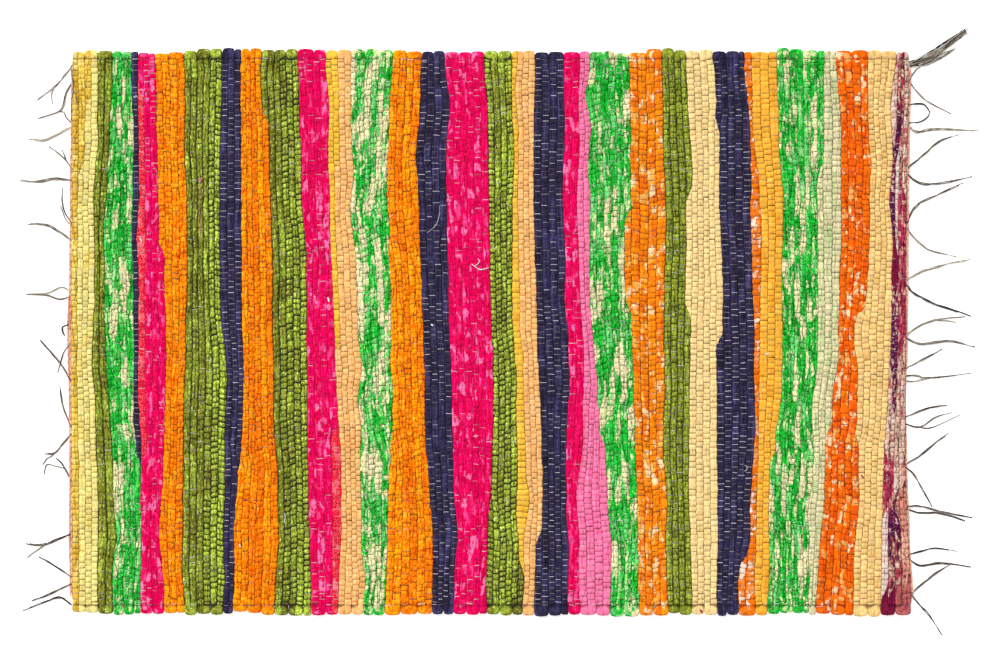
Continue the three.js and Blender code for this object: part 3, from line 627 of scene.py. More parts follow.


# tints of the painted shade that darkens creases, grooves and dents
WARM_SHADE = (0.20, 0.10, 0.035, 1.0)
COOL = (0.25, 0.24, 0.32, 1.0)
RED_BROWN_SHADE = (0.30, 0.07, 0.015, 1.0)
CLOTH = {
    "yellow": rag_material("yellow", lit(228, 194, 78), [
        (lit(208, 162, 44), 24, 8, 0.47, 0.62, 0.85, 0.05),
        (lit(248, 230, 140), 14, 7, 0.52, 0.64, 0.75, 0.05)], gain=1.16, crease_shade_colour=WARM_SHADE, plait=0.55, wide=0.12),
    "butter": rag_material("butter", lit(246, 230, 142), [
        (lit(238, 208, 100), 20, 8, 0.52, 0.66, 0.7, 0.05)], gain=1.03, crease_shade_colour=WARM_SHADE),
    "gold": rag_material("gold", lit(254, 200, 70), [
        (lit(250, 176, 40), 14, 8, 0.52, 0.66, 0.6, 0.05)], gain=1.05, crease_shade_colour=WARM_SHADE),
    "peach": rag_material("peach", lit(254, 192, 120), [
        (lit(249, 168, 88), 16, 8, 0.53, 0.68, 0.6, 0.05),
        (lit(255, 214, 160), 8, 6, 0.57, 0.7, 0.5, 0.05)], gain=1.07, crease_shade_colour=WARM_SHADE),
    "cream": rag_material("cream", lit(250, 218, 150), [
        (lit(243, 200, 122), 20, 8, 0.54, 0.70, 0.5, 0.05)], gain=1.08, crease_shade_colour=WARM_SHADE, cell=0.14),
    "custard": rag_material("custard", lit(245, 204, 132), [
        (lit(236, 182, 96), 18, 8, 0.52, 0.68, 0.6, 0.05)], gain=1.08, crease_shade_colour=WARM_SHADE, wrinkle=0.5),
    "amber": rag_material("amber", lit(254, 184, 62), [
        (lit(250, 158, 34), 14, 8, 0.52, 0.66, 0.6, 0.05),
        (lit(255, 208, 116), 8, 6, 0.58, 0.7, 0.5, 0.05)], gain=1.04, crease_shade_colour=WARM_SHADE),
    "sage": rag_material("sage", lit(224, 217, 168), [
        (lit(186, 208, 140), 22, 9, 0.50, 0.62, 0.7, 0.06),
        (lit(238, 226, 188), 9, 6, 0.55, 0.66, 0.6, 0.05)], crease_shade_colour=(0.22, 0.18, 0.08, 1), plait=0.5, wide=0.12, gain=1.05),
    "pink": rag_material("pink", lit(251, 126, 170), [
        (lit(246, 92, 150), 14, 8, 0.53, 0.68, 0.6, 0.05)],
        gain=1.1, crease_shade_colour=(0.30, 0.06, 0.12, 1), wrinkle=0.5, plait=0.45, wide=0.12),
    "olive": rag_material("olive", lit(150, 170, 54), [
        (lit(112, 126, 32), 14, 3, 0.48, 0.60, 0.8, 0.08),
        (lit(196, 212, 108), 4, 1.8, 0.55, 0.64, 0.85, 0.05),
        (lit(96, 108, 26), 3.4, 1.8, 0.57, 0.64, 0.7, 0.05)], plait=0.75, wide=0.10, gap=0.16, dents=0.97,
        cell=0.3, tone=0.7, tone_colour=lit(124, 118, 36), crease_shade=0.97, crease_shade_colour=(0.085, 0.09, 0.022, 1),
        streaks=0.75, fine=0.7, wrinkle=0.8, gain=1.38),
    "moss": rag_material("moss", lit(140, 152, 46), [
        (lit(104, 116, 30), 14, 3, 0.48, 0.60, 0.8, 0.08),
        (lit(178, 190, 92), 4, 1.8, 0.56, 0.65, 0.8, 0.05),
        (lit(90, 100, 24), 3.4, 1.8, 0.57, 0.64, 0.7, 0.05)], plait=0.8, wide=0.10, gap=0.16, dents=1.0,
        cell=0.34, tone=0.3, crease_shade=0.97, crease_shade_colour=(0.12, 0.12, 0.03, 1), streaks=0.7, fine=0.7, wrinkle=0.8,
        gain=1.28),
    "navy": rag_material("navy", lit(50, 44, 72), [
        (lit(72, 66, 112), 34, 4, 0.50, 0.62, 0.8, 0.04),
        (lit(32, 30, 42), 24, 3, 0.53, 0.64, 0.75, 0.04)],
        cell=0.28, tone=0.3, crease_shade=0.7, crease_shade_colour=(0.2, 0.2, 0.26, 1), streaks=0.6, plait=0.4),
    "magenta": rag_material("magenta", lit(238, 0, 90), [
        (lit(222, 0, 72), 26, 4, 0.50, 0.62, 0.8, 0.05),
        (lit(246, 24, 112), 18, 2.6, 0.54, 0.64, 0.75, 0.05),
        (lit(255, 80, 152), 15, 5.5, 0.58, 0.66, 0.8, 0.05),
        (lit(255, 126, 184), 15, 8, 0.60, 0.65, 0.9, 0.04)],
        cell=0.16, crease_shade=0.85, crease_shade_colour=(0.30, 0.06, 0.12, 1), wrinkle=0.5, streaks=0.5, fine=0.56,
        groove_shade=0.6, dents=0.5, plait=0.45, specks=(lit(255, 120, 180), 0.67, 0.7), gain=1.02, patchy=0.045),
    "scarlet": rag_material("scarlet", lit(234, 30, 58), [
        (lit(250, 110, 120), 14, 8, 0.55, 0.61, 0.85, 0.08)], cell=0.2, crease_shade=0.75, streaks=0.5,
        crease_shade_colour=(0.34, 0.10, 0.12, 1), wrinkle=0.5, specks=(lit(250, 200, 200), 0.60, 0.85)),
    "orange": rag_material("orange", lit(255, 162, 10), [
        (lit(249, 108, 0), 13, 4, 0.51, 0.60, 0.8, 0.09),
        (lit(255, 178, 44), 6, 3, 0.56, 0.65, 0.7, 0.07),
        (lit(238, 84, 0), 5, 2.4, 0.585, 0.64, 0.7, 0.08)], tone_colour=lit(252, 124, 4),
        cell=0.24, crease_shade=0.95, crease_shade_colour=RED_BROWN_SHADE, folds=1.0, wrinkle=0.95, gain=1.26, streaks=0.5, plait=0.6,
        dents=0.72, fine=0.66),
    "spotted": rag_material("spotted", lit(253, 142, 14), [
        (lit(244, 108, 16), 24, 7, 0.50, 0.60, 0.8, 0.06),
        (lit(254, 188, 90), 15, 10, 0.555, 0.64, 0.9, 0.05),
        (lit(253, 224, 174), 13, 9, 0.595, 0.65, 0.92, 0.05)],
        crease_shade=0.9, crease_shade_colour=RED_BROWN_SHADE, folds=0.9, wrinkle=0.8, gain=1.12, streaks=0.5, plait=0.4),
    "printed": rag_material("printed", lit(248, 110, 8), [
        (lit(238, 84, 8), 24, 7, 0.48, 0.60, 0.8, 0.06),
        (lit(252, 180, 96), 14, 9, 0.58, 0.65, 0.9, 0.05),
        (lit(252, 222, 178), 12, 9, 0.61, 0.66, 0.92, 0.05)],
        crease_shade=0.9, crease_shade_colour=RED_BROWN_SHADE, folds=0.9, wrinkle=0.8, gain=1.12, streaks=0.5, plait=0.4),
    "flecked": rag_material("flecked", lit(250, 122, 12), [
        (lit(242, 164, 104), 9, 8, 0.55, 0.60, 0.85, 0.08),
        (lit(252, 230, 210), 9, 8, 0.58, 0.62, 0.95, 0.08)],
        crease_shade=0.95, crease_shade_colour=(0.25, 0.08, 0.03, 1), folds=0.8, wrinkle=0.65, gain=1.02, streaks=0.4),
    "green": rag_material("green", lit(22, 178, 48), [
        (lit(110, 208, 120), 34, 6, 0.50, 0.62, 0.8, 0.05),
        (lit(4, 148, 30), 30, 7, 0.535, 0.60, 0.85, 0.03),
        (lit(176, 214, 140), 18, 4.5, 0.57, 0.66, 0.85, 0.05),
        (lit(226, 212, 166), 44, 14, 0.545, 0.60, 0.95, 0.045),
        (lit(230, 218, 178), 11, 5, 0.62, 0.68, 0.85, 0.05)],
        cell=0.26, crease_shade=0.92, crease_shade_colour=(0.06, 0.13, 0.035, 1), folds=1.0, wrinkle=1.0,
        groove_shade=0.9, dents=0.8, plait=0.7, specks=(lit(226, 236, 190), 0.66, 0.8), gain=1.36, streaks=0.75, fine=0.66, patchy=0.05),
    "rose": rag_material("rose", lit(226, 190, 168), [
        (lit(190, 92, 100), 14, 7, 0.55, 0.60, 0.88, 0.06),
        (lit(238, 214, 200), 16, 10, 0.53, 0.60, 0.8, 0.05)],
        crease_shade=0.95, crease_shade_colour=(0.22, 0.06, 0.06, 1), streaks=0.4, plait=0.75, wide=0.08),
    "wine": rag_material("wine", lit(204, 136, 122), [
        (lit(186, 48, 80), 16, 6, 0.50, 0.56, 0.9, 0.05),
        (lit(90, 20, 66), 14, 5, 0.54, 0.57, 0.9, 0.05),
        (lit(230, 196, 168), 12, 7, 0.545, 0.58, 0.95, 0.06)],
        crease_shade=0.95, crease_shade_colour=(0.16, 0.04, 0.06, 1), streaks=0.5, plait=0.75, wide=0.08),
    "plum": rag_material("plum", lit(92, 22, 70), [
        (lit(132, 34, 78), 18, 6, 0.52, 0.60, 0.8, 0.06),
        (lit(222, 178, 160), 8, 4, 0.55, 0.59, 0.92, 0.05)],
        crease_shade=0.8, crease_shade_colour=(0.2, 0.08, 0.16, 1), streaks=0.5),
    "crimson": rag_material("crimson", lit(184, 58, 88), [
        (lit(140, 28, 72), 18, 5, 0.52, 0.58, 0.85, 0.06),
        (lit(226, 168, 152), 9, 5, 0.545, 0.59, 0.9, 0.06)],
        crease_shade=0.9, crease_shade_colour=(0.18, 0.05, 0.08, 1), streaks=0.5, plait=0.85, wide=0.08),
    "garnet": rag_material("garnet", lit(136, 24, 62), [
        (lit(96, 18, 58), 20, 5, 0.52, 0.60, 0.8, 0.06)],
        crease_shade=0.8, crease_shade_colour=(0.2, 0.06, 0.12, 1), streaks=0.4),
    "dusty": rag_material("dusty", lit(188, 100, 96), [
        (lit(150, 56, 74), 16, 5, 0.50, 0.58, 0.85, 0.08)],
        crease_shade=0.9, crease_shade_colour=(0.22, 0.06, 0.08, 1), streaks=0.4, plait=0.75, wide=0.08),
    "shell": rag_material("shell", lit(232, 172, 148), [
        (lit(214, 130, 116), 16, 6, 0.48, 0.58, 0.85, 0.06),
        (lit(120, 38, 58), 8, 4, 0.565, 0.60, 0.88, 0.06)],
        crease_shade=0.9, crease_shade_colour=(0.26, 0.10, 0.08, 1), streaks=0.5, plait=0.85, wide=0.08),
    "blush": rag_material("blush", lit(234, 214, 204), [
        (lit(222, 186, 172), 14, 8, 0.54, 0.62, 0.7, 0.06)],
        crease_shade=0.95, crease_shade_colour=(0.26, 0.10, 0.09, 1), streaks=0.3, plait=0.75, wide=0.08),
    "heading": rag_material("heading", lit(247, 200, 168), [
        (lit(236, 156, 138), 20, 6, 0.48, 0.60, 0.8, 0.06)], crease_shade=0.6,
        crease_shade_colour=(0.4, 0.2, 0.15, 1)),
}
WARP = thread_material("cotton_warp", lit(70, 46, 30), lit(232, 228, 234))
LINT_CLOTHS = [
    thread_material("lint_cotton", lit(56, 48, 44), lit(252, 248, 252)),
    thread_material("lint_red", lit(150, 14, 40), lit(240, 130, 170)),
    thread_material("lint_green", lit(110, 200, 110), lit(232, 240, 206)),
]
FRINGE = thread_material("cotton_fringe", lit(62, 54, 52), lit(214, 200, 180))

# ------------------------------------------------------------------ weft picks
STEP_Y = 1.5
grid_y = np.arange(-WARP_HALF, WARP_HALF + 0.01, STEP_Y)      # +-294, every half warp
edges = [level_curve(FIELD_LEFT, grid_y)]
plan = []                                                     # cloth runs of each pick
for cloth, count, right, joins in STRIPES:
    r = level_curve(right, grid_y)
    l = edges[-1]
    for k in range(1, count + 1):
        edges.append(l + (r - l) * k / count)
        runs, top, now = [], 400.0, cloth
        for y, other in joins:
            runs.append((now, top, y))
            top, now = y, other
        runs.append((now, top, -400.0))
        plan.append(runs)
edges = np.array(edges)
PICKS = len(plan)


def cloth_at(p, y):
    if not 0 <= p < PICKS:
        return None
    return next(c for c, top, low in plan[p] if top >= y >= low)


stray = np.zeros(edges.shape)
for e, places in STRAYS.items():
    for y, shift, reach in places:
        stray[e] += shift * np.exp(-((grid_y - y) / reach) ** 2)
for k, y in enumerate(grid_y):
    held = [0] + [e for e in range(1, PICKS) if cloth_at(e - 1, y) != cloth_at(e, y)] + [PICKS]
    stray[:, k] = np.interp(np.arange(PICKS + 1), held, stray[held, k])
edges = edges + blur(stray, 3.0, 1)
wander = field_noise(edges.shape, (1.1, 9.0)) * 0.30 + field_noise(edges.shape, (0.5, 2.6)) * 0.24
wander[0] *= 0.3
wander[-1] *= 0.3
edges = edges + wander
for e in range(1, len(edges)):
    edges[e] = np.maximum(edges[e], edges[e - 1] + 2.6)
TAPER = 10.0        # a laid-in rag thins out over this much either side of a join


def join_side(p, y, upper, lower):
    """-1 if the upper rag thins out towards the left, 1 towards the right."""
    if cloth_at(p - 1, y) == upper:
        return -1
    if cloth_at(p + 1, y) == upper:
        return 1
    if cloth_at(p - 1, y) == lower:
        return 1
    return -1


# Selvedge partners: neighbours of one cloth turn into each other.
def partners(end):
    out = {}
    p = 0
    while p < PICKS - 1:
        a, b = plan[p][end][0], plan[p + 1][end][0]
        if PIECE[a] == PIECE[b]:
            out[p], out[p + 1] = p + 1, p
            p += 2
        else:
            p += 1
    return out


turn = {1: partners(0), -1: partners(-1)}
crown = {}
for s in (1, -1):
    for p in range(PICKS):
        q = turn[s].get(p)
        crown[(s, p)] = crown.get((s, q)) if q is not None and q < p else \
            None
        if crown[(s, p)] is None:
            x = edges[p + (1 if q is not None else 0), -1 if s > 0 else 0]
            table = np.array(CROWNS)
            crown[(s, p)] = abs(float(np.interp(x, table[:, 0], table[:, 1 if s > 0 else 2]))) + float(
                np.clip(rng.normal(0, 0.6), -1.2, 1.2))

# Unevenness shared by neighbouring places on the rug.
swell = field_noise((PICKS, len(grid_y)), (0.5, 5.0))
lump = rng.standard_normal((PICKS, len(grid_y)))
loose = field_noise((PICKS, len(grid_y)), (2.5, 14.0))        # how open the weave is
row_show = field_noise((len(grid_y),), (1.2,))                # some warp threads show more
row_pale = np.where(rng.random(len(grid_y)) < 0.12, 0.3, 0.0)  # and a few are paler

builders = {}
stitches = {1: Builder(), -1: Builder()}
stitch_total = {1: 0, -1: 0}


# ACROSS weights the painted groove shade at each corner by how deep that corner lies in the groove
ACROSS = np.array([1.0, 0.45, 0.0, 0.0, 0.45, 1.0, 0.3])     # how deep each corner lies in the groove


def rag_rings(cx, cy, tx, ty, w, top, bottom, side, drop, flat):
    """Seven-sided sections: groove, shoulder, two crowns, shoulder, groove,
    belly. side is one height for both grooves, or a (left, right) pair."""
    nx, ny = -ty, tx                                           # to the left of the path
    left, right = side if isinstance(side, tuple) else (side, side)
    rings = np.zeros((len(cx), 7, 3))
    outer = 0.5 * (flat + 0.5)
    lateral = np.stack([0.5 * w, outer * w, (flat - 0.10) * w, -(flat - 0.10) * w, -outer * w, -0.5 * w,
                        np.zeros_like(w)], 1)
    z = np.stack([left, top - drop, top, top, top - drop, right, bottom], 1)
    rings[:, :, 0] = cx[:, None] + nx[:, None] * lateral
    rings[:, :, 1] = cy[:, None] + ny[:, None] * lateral
    rings[:, :, 2] = z
    return rings, lateral, z


warps = np.arange(len(grid_y) // 2 + 1)
LAST_WARP = int(warps[-1])
for p in range(PICKS):
    left, right = edges[p], edges[p + 1]
    centre, width = (left + right) / 2, right - left
    pick_tone = rng.random()
    pick_tone = LIGHTNESS.get(p, pick_tone)
    slant = rng.choice((-1.0, 1.0)) * rng.uniform(0.2, 0.8)
    for r, (cloth, y_top, y_low) in enumerate(plan[p]):
        style = STYLE[cloth]
        s = RAG[style]
        pinch, shoulder, neck = s["pinch"], s["shoulder"], s["neck"]
        top_open, low_open = r == 0, r == len(plan[p]) - 1
        y_hi = WARP_HALF + 0.2 if top_open else y_top + TAPER
        y_lo = -WARP_HALF - 0.2 if low_open else y_low - TAPER
        ys, phase, cells, dent = [], [], [], []
        for i in warps:
            yw = -WARP_HALF + WARP_PITCH * i
            if (i + p) % 2 == 0 or i in (0, LAST_WARP):     # the warp thread lies over the rag
                k = float(np.clip(rng.normal(1.0, 0.34), 0.3, 1.7))
                if rng.random() < 0.10:
                    k = 0.12                                # hardly drawn in here
                sway = rng.normal(0, 0.22)
                for d, f in ((-shoulder, 0.74), (0.0, 0.0), (shoulder, 0.74)):
                    ys.append(yw + d + (sway if 0 < i < LAST_WARP else 0.0))
                    phase.append(f)
                    dent.append(k)
                    cells.append(i // 2 + (1 if d > 0 else 0))
            else:                                           # the rag lies over the warp thread
                ys.append(yw)
                phase.append(1.0)
                dent.append(1.0)
                cells.append((i + 1) // 2)
        ys, phase, cells, dent = (np.array(v) for v in (ys, phase, cells, dent))
        keep = (ys > y_lo) & (ys < y_hi)
        ys, phase, cells, dent = ys[keep], phase[keep], cells[keep], dent[keep]
        order = np.argsort(ys, kind="stable")
        ys, phase, cells, dent = ys[order], phase[order], cells[order], dent[order]
        n = len(ys)
        if n < 4:
            continue
        g = np.clip(np.round((ys + WARP_HALF) / STEP_Y).astype(int), 0, len(grid_y) - 1)
        cx, w = np.interp(ys, grid_y, centre), np.interp(ys, grid_y, width)
        full = w.copy()
        for open_end, y_join, upward in ((top_open, y_top, False), (low_open, y_low, True)):
            if open_end:
                continue
            upper, lower = (plan[p][r][0], plan[p][r + 1][0]) if upward else (plan[p][r - 1][0], plan[p][r][0])
            toward = join_side(p, y_join, upper, lower)
            f = smoothstep((ys - (y_join - TAPER)) / (2 * TAPER))
            if not upward:
                f, toward = 1 - f, -toward
            f = 0.10 + 0.90 * f
            cx = cx + toward * full * (1 - f) / 2
            w = w * f
        low, high = CORDS.get(p, (1e4, 1e4)) if style == "bead" else (1e4, 1e4)
        tight = smoothstep((ys - low) / 25 + 0.5) * (1 - smoothstep((ys - high) / 25 + 0.5))
        pinch, neck = pinch * (1 - 0.58 * tight), neck * (1 - 0.6 * tight)
        cell_r = rng.random(cells.max() + 3)
        cell_h = np.clip(rng.standard_normal(cells.max() + 3), -2, 2)
        bulge = THICK - 0.45 + 0.14 * swell[p, g] + s["rough"] * 0.30 * cell_h[cells]
        top = bulge - pinch * dent * (1 - phase) - 0.7 * (1 - np.clip(w / full, 0, 1)) ** 2
        top = np.minimum(top, THICK + 0.35)
        bottom = np.where(phase > 0.9, 1.35, np.where(phase > 0.5, 0.45, 0.05))
        wide = w * (1.03 + neck * (phase - 0.75) + s["rough"] * 0.05 * cell_h[cells])
        side = np.full(n, s["side"]) - 0.25 * (1 - phase)
        drop = np.full(n, s["drop"]) * (0.8 + 0.4 * phase)
        cy = ys.copy()
        dip_along = np.clip((1 - phase) ** 1.5 * (0.25 + 0.75 * dent) * (1 - 0.42 * tight), 0, 1)

        # loops and laid-in ends
        def add_end(at_high):
            """Path points that carry on past the last section."""
            sgn = 1 if at_high else -1
            is_edge = top_open if at_high else low_open
            k = -1 if at_high else 0
            if is_edge:
                q = turn[sgn].get(p)
                reach = crown[(sgn, p)]
                y0 = cy[k]
                depth = max(4.0, reach - abs(y0))
                if q is None:
                    f = np.array([0.30, 0.66, 0.90, 1.0])
                    x = np.full(4, cx[k])
                    y = y0 + sgn * (depth - 0.8) * f
                    ww = w[k] * np.array([1.06, 1.08, 1.0, 0.72])
                    tt = np.array([6.35, 6.2, 5.6, 4.7])
                    bb = np.array([0.5, 0.9, 1.6, 2.6])
                    tx, ty = np.zeros(4), np.full(4, float(sgn))
                    sl = sr = np.array([4.6, 4.2, 3.8, 3.6])
                else:
                    mate = float(np.interp(y0, grid_y, (edges[q] + edges[q + 1]) / 2))
                    xm = (cx[k] + mate) / 2
                    out = 1.0 if cx[k] > xm else -1.0
                    th = np.radians([18, 40, 64, 90.5])
                    c = np.sign(np.cos(th)) * np.abs(np.cos(th)) ** 0.5
                    sn = np.sin(th) ** 0.5
                    reach_x = abs(cx[k] - xm) + w[k] * 0.57
                    ox, oy = xm + out * reach_x * c, depth * sn
                    ix, iy = xm - out * 0.25 + 0 * th, depth * np.array([0.10, 0.16, 0.2, 0.22])
                    ww = np.hypot(ox - ix, oy - iy)
                    x, y = (ox + ix) / 2, y0 + sgn * (oy + iy) / 2
                    n_x, n_y = (ox - ix) / ww, sgn * (oy - iy) / ww
                    flip = -out * sgn
                    n_x, n_y = n_x * flip, n_y * flip
                    tx, ty = n_y, -n_x
                    tt = np.array([6.45, 6.4, 6.3, 6.3]) + 0.05 * rng.standard_normal()
                    bb = np.array([0.35, 0.35, 0.4, 0.4])
                    inner, outer = np.array([5.3, 5.7, 5.9, 6.0]), np.array([4.0, 3.6, 3.4, 3.3])
                    sl, sr = (inner, outer) if flip < 0 else (outer, inner)
                    if sgn < 0:
                        sl, sr = sr, sl
                x = x + rng.normal(0, 0.18, 4) * np.array([1.0, 1.0, 1.0, 0.0])
                tt = tt + rng.normal(0, 0.16, 4) * np.array([1.0, 1.0, 1.0, 0.3])
                return x, y, tx, ty, ww, tt, bb, np.array([0.35, 0.1, 0.05, 0.1]), sl, sr
            f = np.array([0.4, 0.75, 1.0])
            x = np.full(3, cx[k])
            y = cy[k] + sgn * 1.5 * f
            ww = w[k] * np.array([0.9, 0.7, 0.4])
            tt = np.array([5.8, 5.2, 4.4])
            return (x, y, np.zeros(3), np.full(3, float(sgn)), ww, tt, np.array([0.9, 1.6, 2.4]),
                    np.array([0.2, 0.5, 0.8]), np.full(3, 3.4), np.full(3, 3.4))

        tx = np.gradient(cx, cy)
        m = np.hypot(tx, 1.0)
        txs, tys = tx / m, 1.0 / m
        hi, lo = add_end(True), add_end(False)

        def join(body, i, flip_sign=False):
            low = lo[i][::-1]
            if flip_sign:
                low = -low
            return np.concatenate([low, body, hi[i]])

        X, Y = join(cx, 0), join(cy, 1)
        TX, TY = join(txs, 2, True), join(tys, 3, True)
        Wd, Tp, Bt = join(wide, 4), join(top, 5), join(bottom, 6)
        Dp = join(dip_along, 7)
        SL, SR = join(side, 8), join(side, 9)
        nlo, nhi = len(lo[0]), len(hi[0])
        Dr = np.concatenate([np.full(nlo, 0.5), drop, np.full(nhi, 0.5)])
        SL, SR = np.minimum(SL, Tp - 0.35), np.minimum(SR, Tp - 0.35)
        rings, lateral, z = rag_rings(X, Y, TX, TY, Wd, Tp, Bt, (SL, SR), Dr, s["flat"])
        S = len(X)
        body = slice(nlo, S - nhi)
        nb = S - nlo - nhi
        shake = s["rough"]
        rings[body, :, 2] += rng.normal(0, 0.15 * shake, (nb, 7)) * np.array([1, 1, 1, 1, 1, 1, 0])
        rings[body, :, 0] += rng.normal(0, 0.22 * shake, (nb, 7)) * np.array([1, 1, 0.8, 0.8, 1, 1, 0])
        if style in ("bead", "crumpled", "matted"):
            rings[body, :, 1] += slant * np.array([1, 0.85, 0.5, -0.5, -0.85, -1, 0])[None, :]
        rings[:, :, 2] = np.clip(rings[:, :, 2], 0.03, THICK + 0.5)
        along = np.concatenate([[0], np.cumsum(np.hypot(np.diff(X), np.diff(Y)))])
        seed = 400.0 * rng.random() + 900.0 * p
        cellv = np.concatenate([np.full(nlo, cell_r[cells[0]]), cell_r[cells], np.full(nhi, cell_r[cells[-1]])])
        rag = np.stack([np.repeat((along + seed)[:, None], 7, 1), lateral, z], -1)
        # how much painted shade darkens each corner of the section, and each dent along it
        dip = np.repeat((ACROSS * s["groove"])[None, :], S, 0)
        dip[:nlo, [0, 5]] = 0.35
        dip[S - nhi:, [0, 5]] = 0.35
        dent_a = np.repeat(np.clip(Dp, 0, 1)[:, None], 7, 1)
        calm = np.ones((S, 7))
        for end, n_end, is_edge in ((slice(0, nlo), nlo, low_open), (slice(S - nhi, S), nhi, top_open)):
            if is_edge:
                calm[end] = 0.0
        tone = np.clip(0.5 + 0.85 * (pick_tone - 0.5) + 0.10 * Y / 300 * (cloth == "orange")
                       + 0.12 * np.interp(Y, grid_y, swell[p]), 0, 1)
        key = PIECE[cloth]
        builders.setdefault(key, Builder()).ring_tube(rings, {
            "rag": rag, "cell": np.repeat(cellv[:, None], 7, 1),
            "tone": np.repeat(tone[:, None], 7, 1), "groove_shade": dip, "dent": dent_a, "calm": calm},
            "cloth_" + cloth)

        # the warp threads that show on this run
        # stitch tones follow the rag they cross: the mostly dark tones on pale and orange rags are partly painted
        # shade in the recessed pinches
        bright, dark, share = s["tones"]
        for face in (1, -1):
            for i in warps:
                edge_row = i in (0, LAST_WARP)
                over = (i + p) % 2 == 0 or edge_row
                if over != (face == 1):
                    continue
                yw = -WARP_HALF + WARP_PITCH * i
                if not (y_lo + 1 < yw < y_hi - 1) and not (edge_row and y_lo < yw < y_hi):
                    continue
                gi = min(2 * i, len(grid_y) - 1)
                want = s["stitch"] + 0.16 * loose[p, gi] + 0.10 * row_show[gi]
                if edge_row:
                    want = 0.55
                    yw += rng.normal(0, 0.7)
                if face < 0:
                    want *= 0.55
                if rng.random() > np.clip(want, 0.04, 0.95):
                    continue
                c = float(np.interp(yw, grid_y, centre))
                hw = float(np.interp(yw, grid_y, width)) * rng.uniform(0.40, 0.52)
                half = rng.uniform(0.24, 0.40)
                lift = s["lift"] + 0.08 * loose[p, gi] + rng.normal(0, 0.09)
                slope = rng.normal(0, 0.2)
                if face == 1:
                    bed = float(np.interp(yw, ys, top))
                    zc = max(bed + 0.24 + lift, bed + 0.1)
                    zend = max(bed - 0.8, 3.4)
                else:
                    zc = max(0.25, 1.05 - lift)
                    zend = zc + 1.1
                if face == 1:
                    xs = c + hw * np.array([-1.0, -rng.uniform(0.66, 0.82), rng.uniform(0.66, 0.82), 1.0])
                    zz = np.array([zend, zc - 0.06, zc, zend])
                    yy = yw + slope * np.array([-1.0, -0.7, 0.7, 1.0])
                else:
                    xs = np.array([c - hw, c, c + hw])
                    zz = np.array([zend, zc, zend])
                    yy = yw + slope * np.array([-1.0, 0.0, 1.0])
                ns = len(xs)
                ring = np.zeros((ns, 3, 3))
                for a, (dy, dz) in enumerate(((-half, -0.25 * face), (half, -0.25 * face), (0.0, 0.20 * face))):
                    ring[:, a, 0] = xs
                    ring[:, a, 1] = yy + dy
                    ring[:, a, 2] = zz + dz
                if face == 1:
                    ring = ring[:, [1, 0, 2]]
                tn = rng.normal(bright, 0.14) if rng.random() < share else rng.normal(dark, 0.10)
                if dark > 0.15:
                    tn += row_pale[gi]
                if edge_row:
                    tn = rng.choice((0.03, 0.1, 0.3, 0.9))
                tn = float(np.clip(tn, 0, 1))
                co = np.zeros((ns, 3, 3))
                co[:, :, 0] = xs[:, None] + 37.0 * i
                co[:, :, 1] = 0.3 * np.array([1.0, -1.0, 0.0])[None, :]
                co[:, :, 2] = zz[:, None]
                stitches[face].ring_tube(ring, {"rag": co, "tone": np.full((ns, 3), tn)}, "cotton_warp")
                stitch_total[face] += 1

# ------------------------------------------------------------------ headings
def heading(side):
    """Two thin cotton picks, woven close along a short end."""
    b = Builder()
    ys = np.arange(-285.0, 285.01, 2.0)
    inner = level_curve(FIELD_LEFT if side < 0 else STRIPES[-1][2], ys)
    gap = np.maximum(np.abs(end_edge(side, ys)) - np.abs(inner), 2.0)
    for k, share in enumerate((0.27, 0.74)):
        wob = blur(rng.standard_normal(len(ys)), 6, 0) * 0.9
        cx = end_edge(side, ys) - side * (share * gap + wob * 0.45 + 0.12 * rng.standard_normal(len(ys)))
        ph = 0.5 + 0.5 * np.cos(np.pi * (np.arange(len(ys)) + 2 * k) / 2.0)
        w = 0.50 * gap + 0.45 * ph + 0.25 * wob
        top = 4.4 - 0.9 * (1 - ph) + 0.25 * wob
        bottom = np.full(len(ys), 0.4)
        tx = np.gradient(cx, ys)
        m = np.hypot(tx, 1)
        fade = np.clip((285.0 - np.abs(ys)) / 9.0, 0.25, 1.0)
        rings, lateral, z = rag_rings(cx, ys, tx / m, 1 / m, w * fade, top - 1.4 * (1 - fade), bottom,
                                      np.full(len(ys), 2.4), np.full(len(ys), 0.4), 0.33)
        n = len(ys)
        rag = np.stack([np.repeat((ys + 5000 * (k + 1) * side)[:, None], 7, 1), lateral, z], -1)
        b.ring_tube(rings, {"rag": rag, "cell": np.repeat(rng.random(n)[:, None], 7, 1),
                            "tone": np.full((n, 7), 0.5), "groove_shade": np.repeat(ACROSS[None], n, 0),
                            "dent": np.repeat((0.8 * (1 - ph))[:, None], 7, 1), "calm": np.zeros((n, 7))},
                    "cloth_heading")
    return b


# ------------------------------------------------------------------ fringe
def spline(points, n):
    """Catmull-Rom through 2-D points, n samples."""
    p = np.array(points, dtype=float)
    p = np.concatenate([[2 * p[0] - p[1]], p, [2 * p[-1] - p[-2]]])
    u = np.linspace(0, len(points) - 1, n)
    i = np.minimum(np.floor(u).astype(int), len(points) - 2)
    t = (u - i)[:, None]
    a, b, c, d = p[i], p[i + 1], p[i + 2], p[i + 3]
    return 0.5 * (2 * b + (c - a) * t + (2 * a - 5 * b + 4 * c - d) * t ** 2
                  + (3 * b - a - 3 * c + d) * t ** 3)


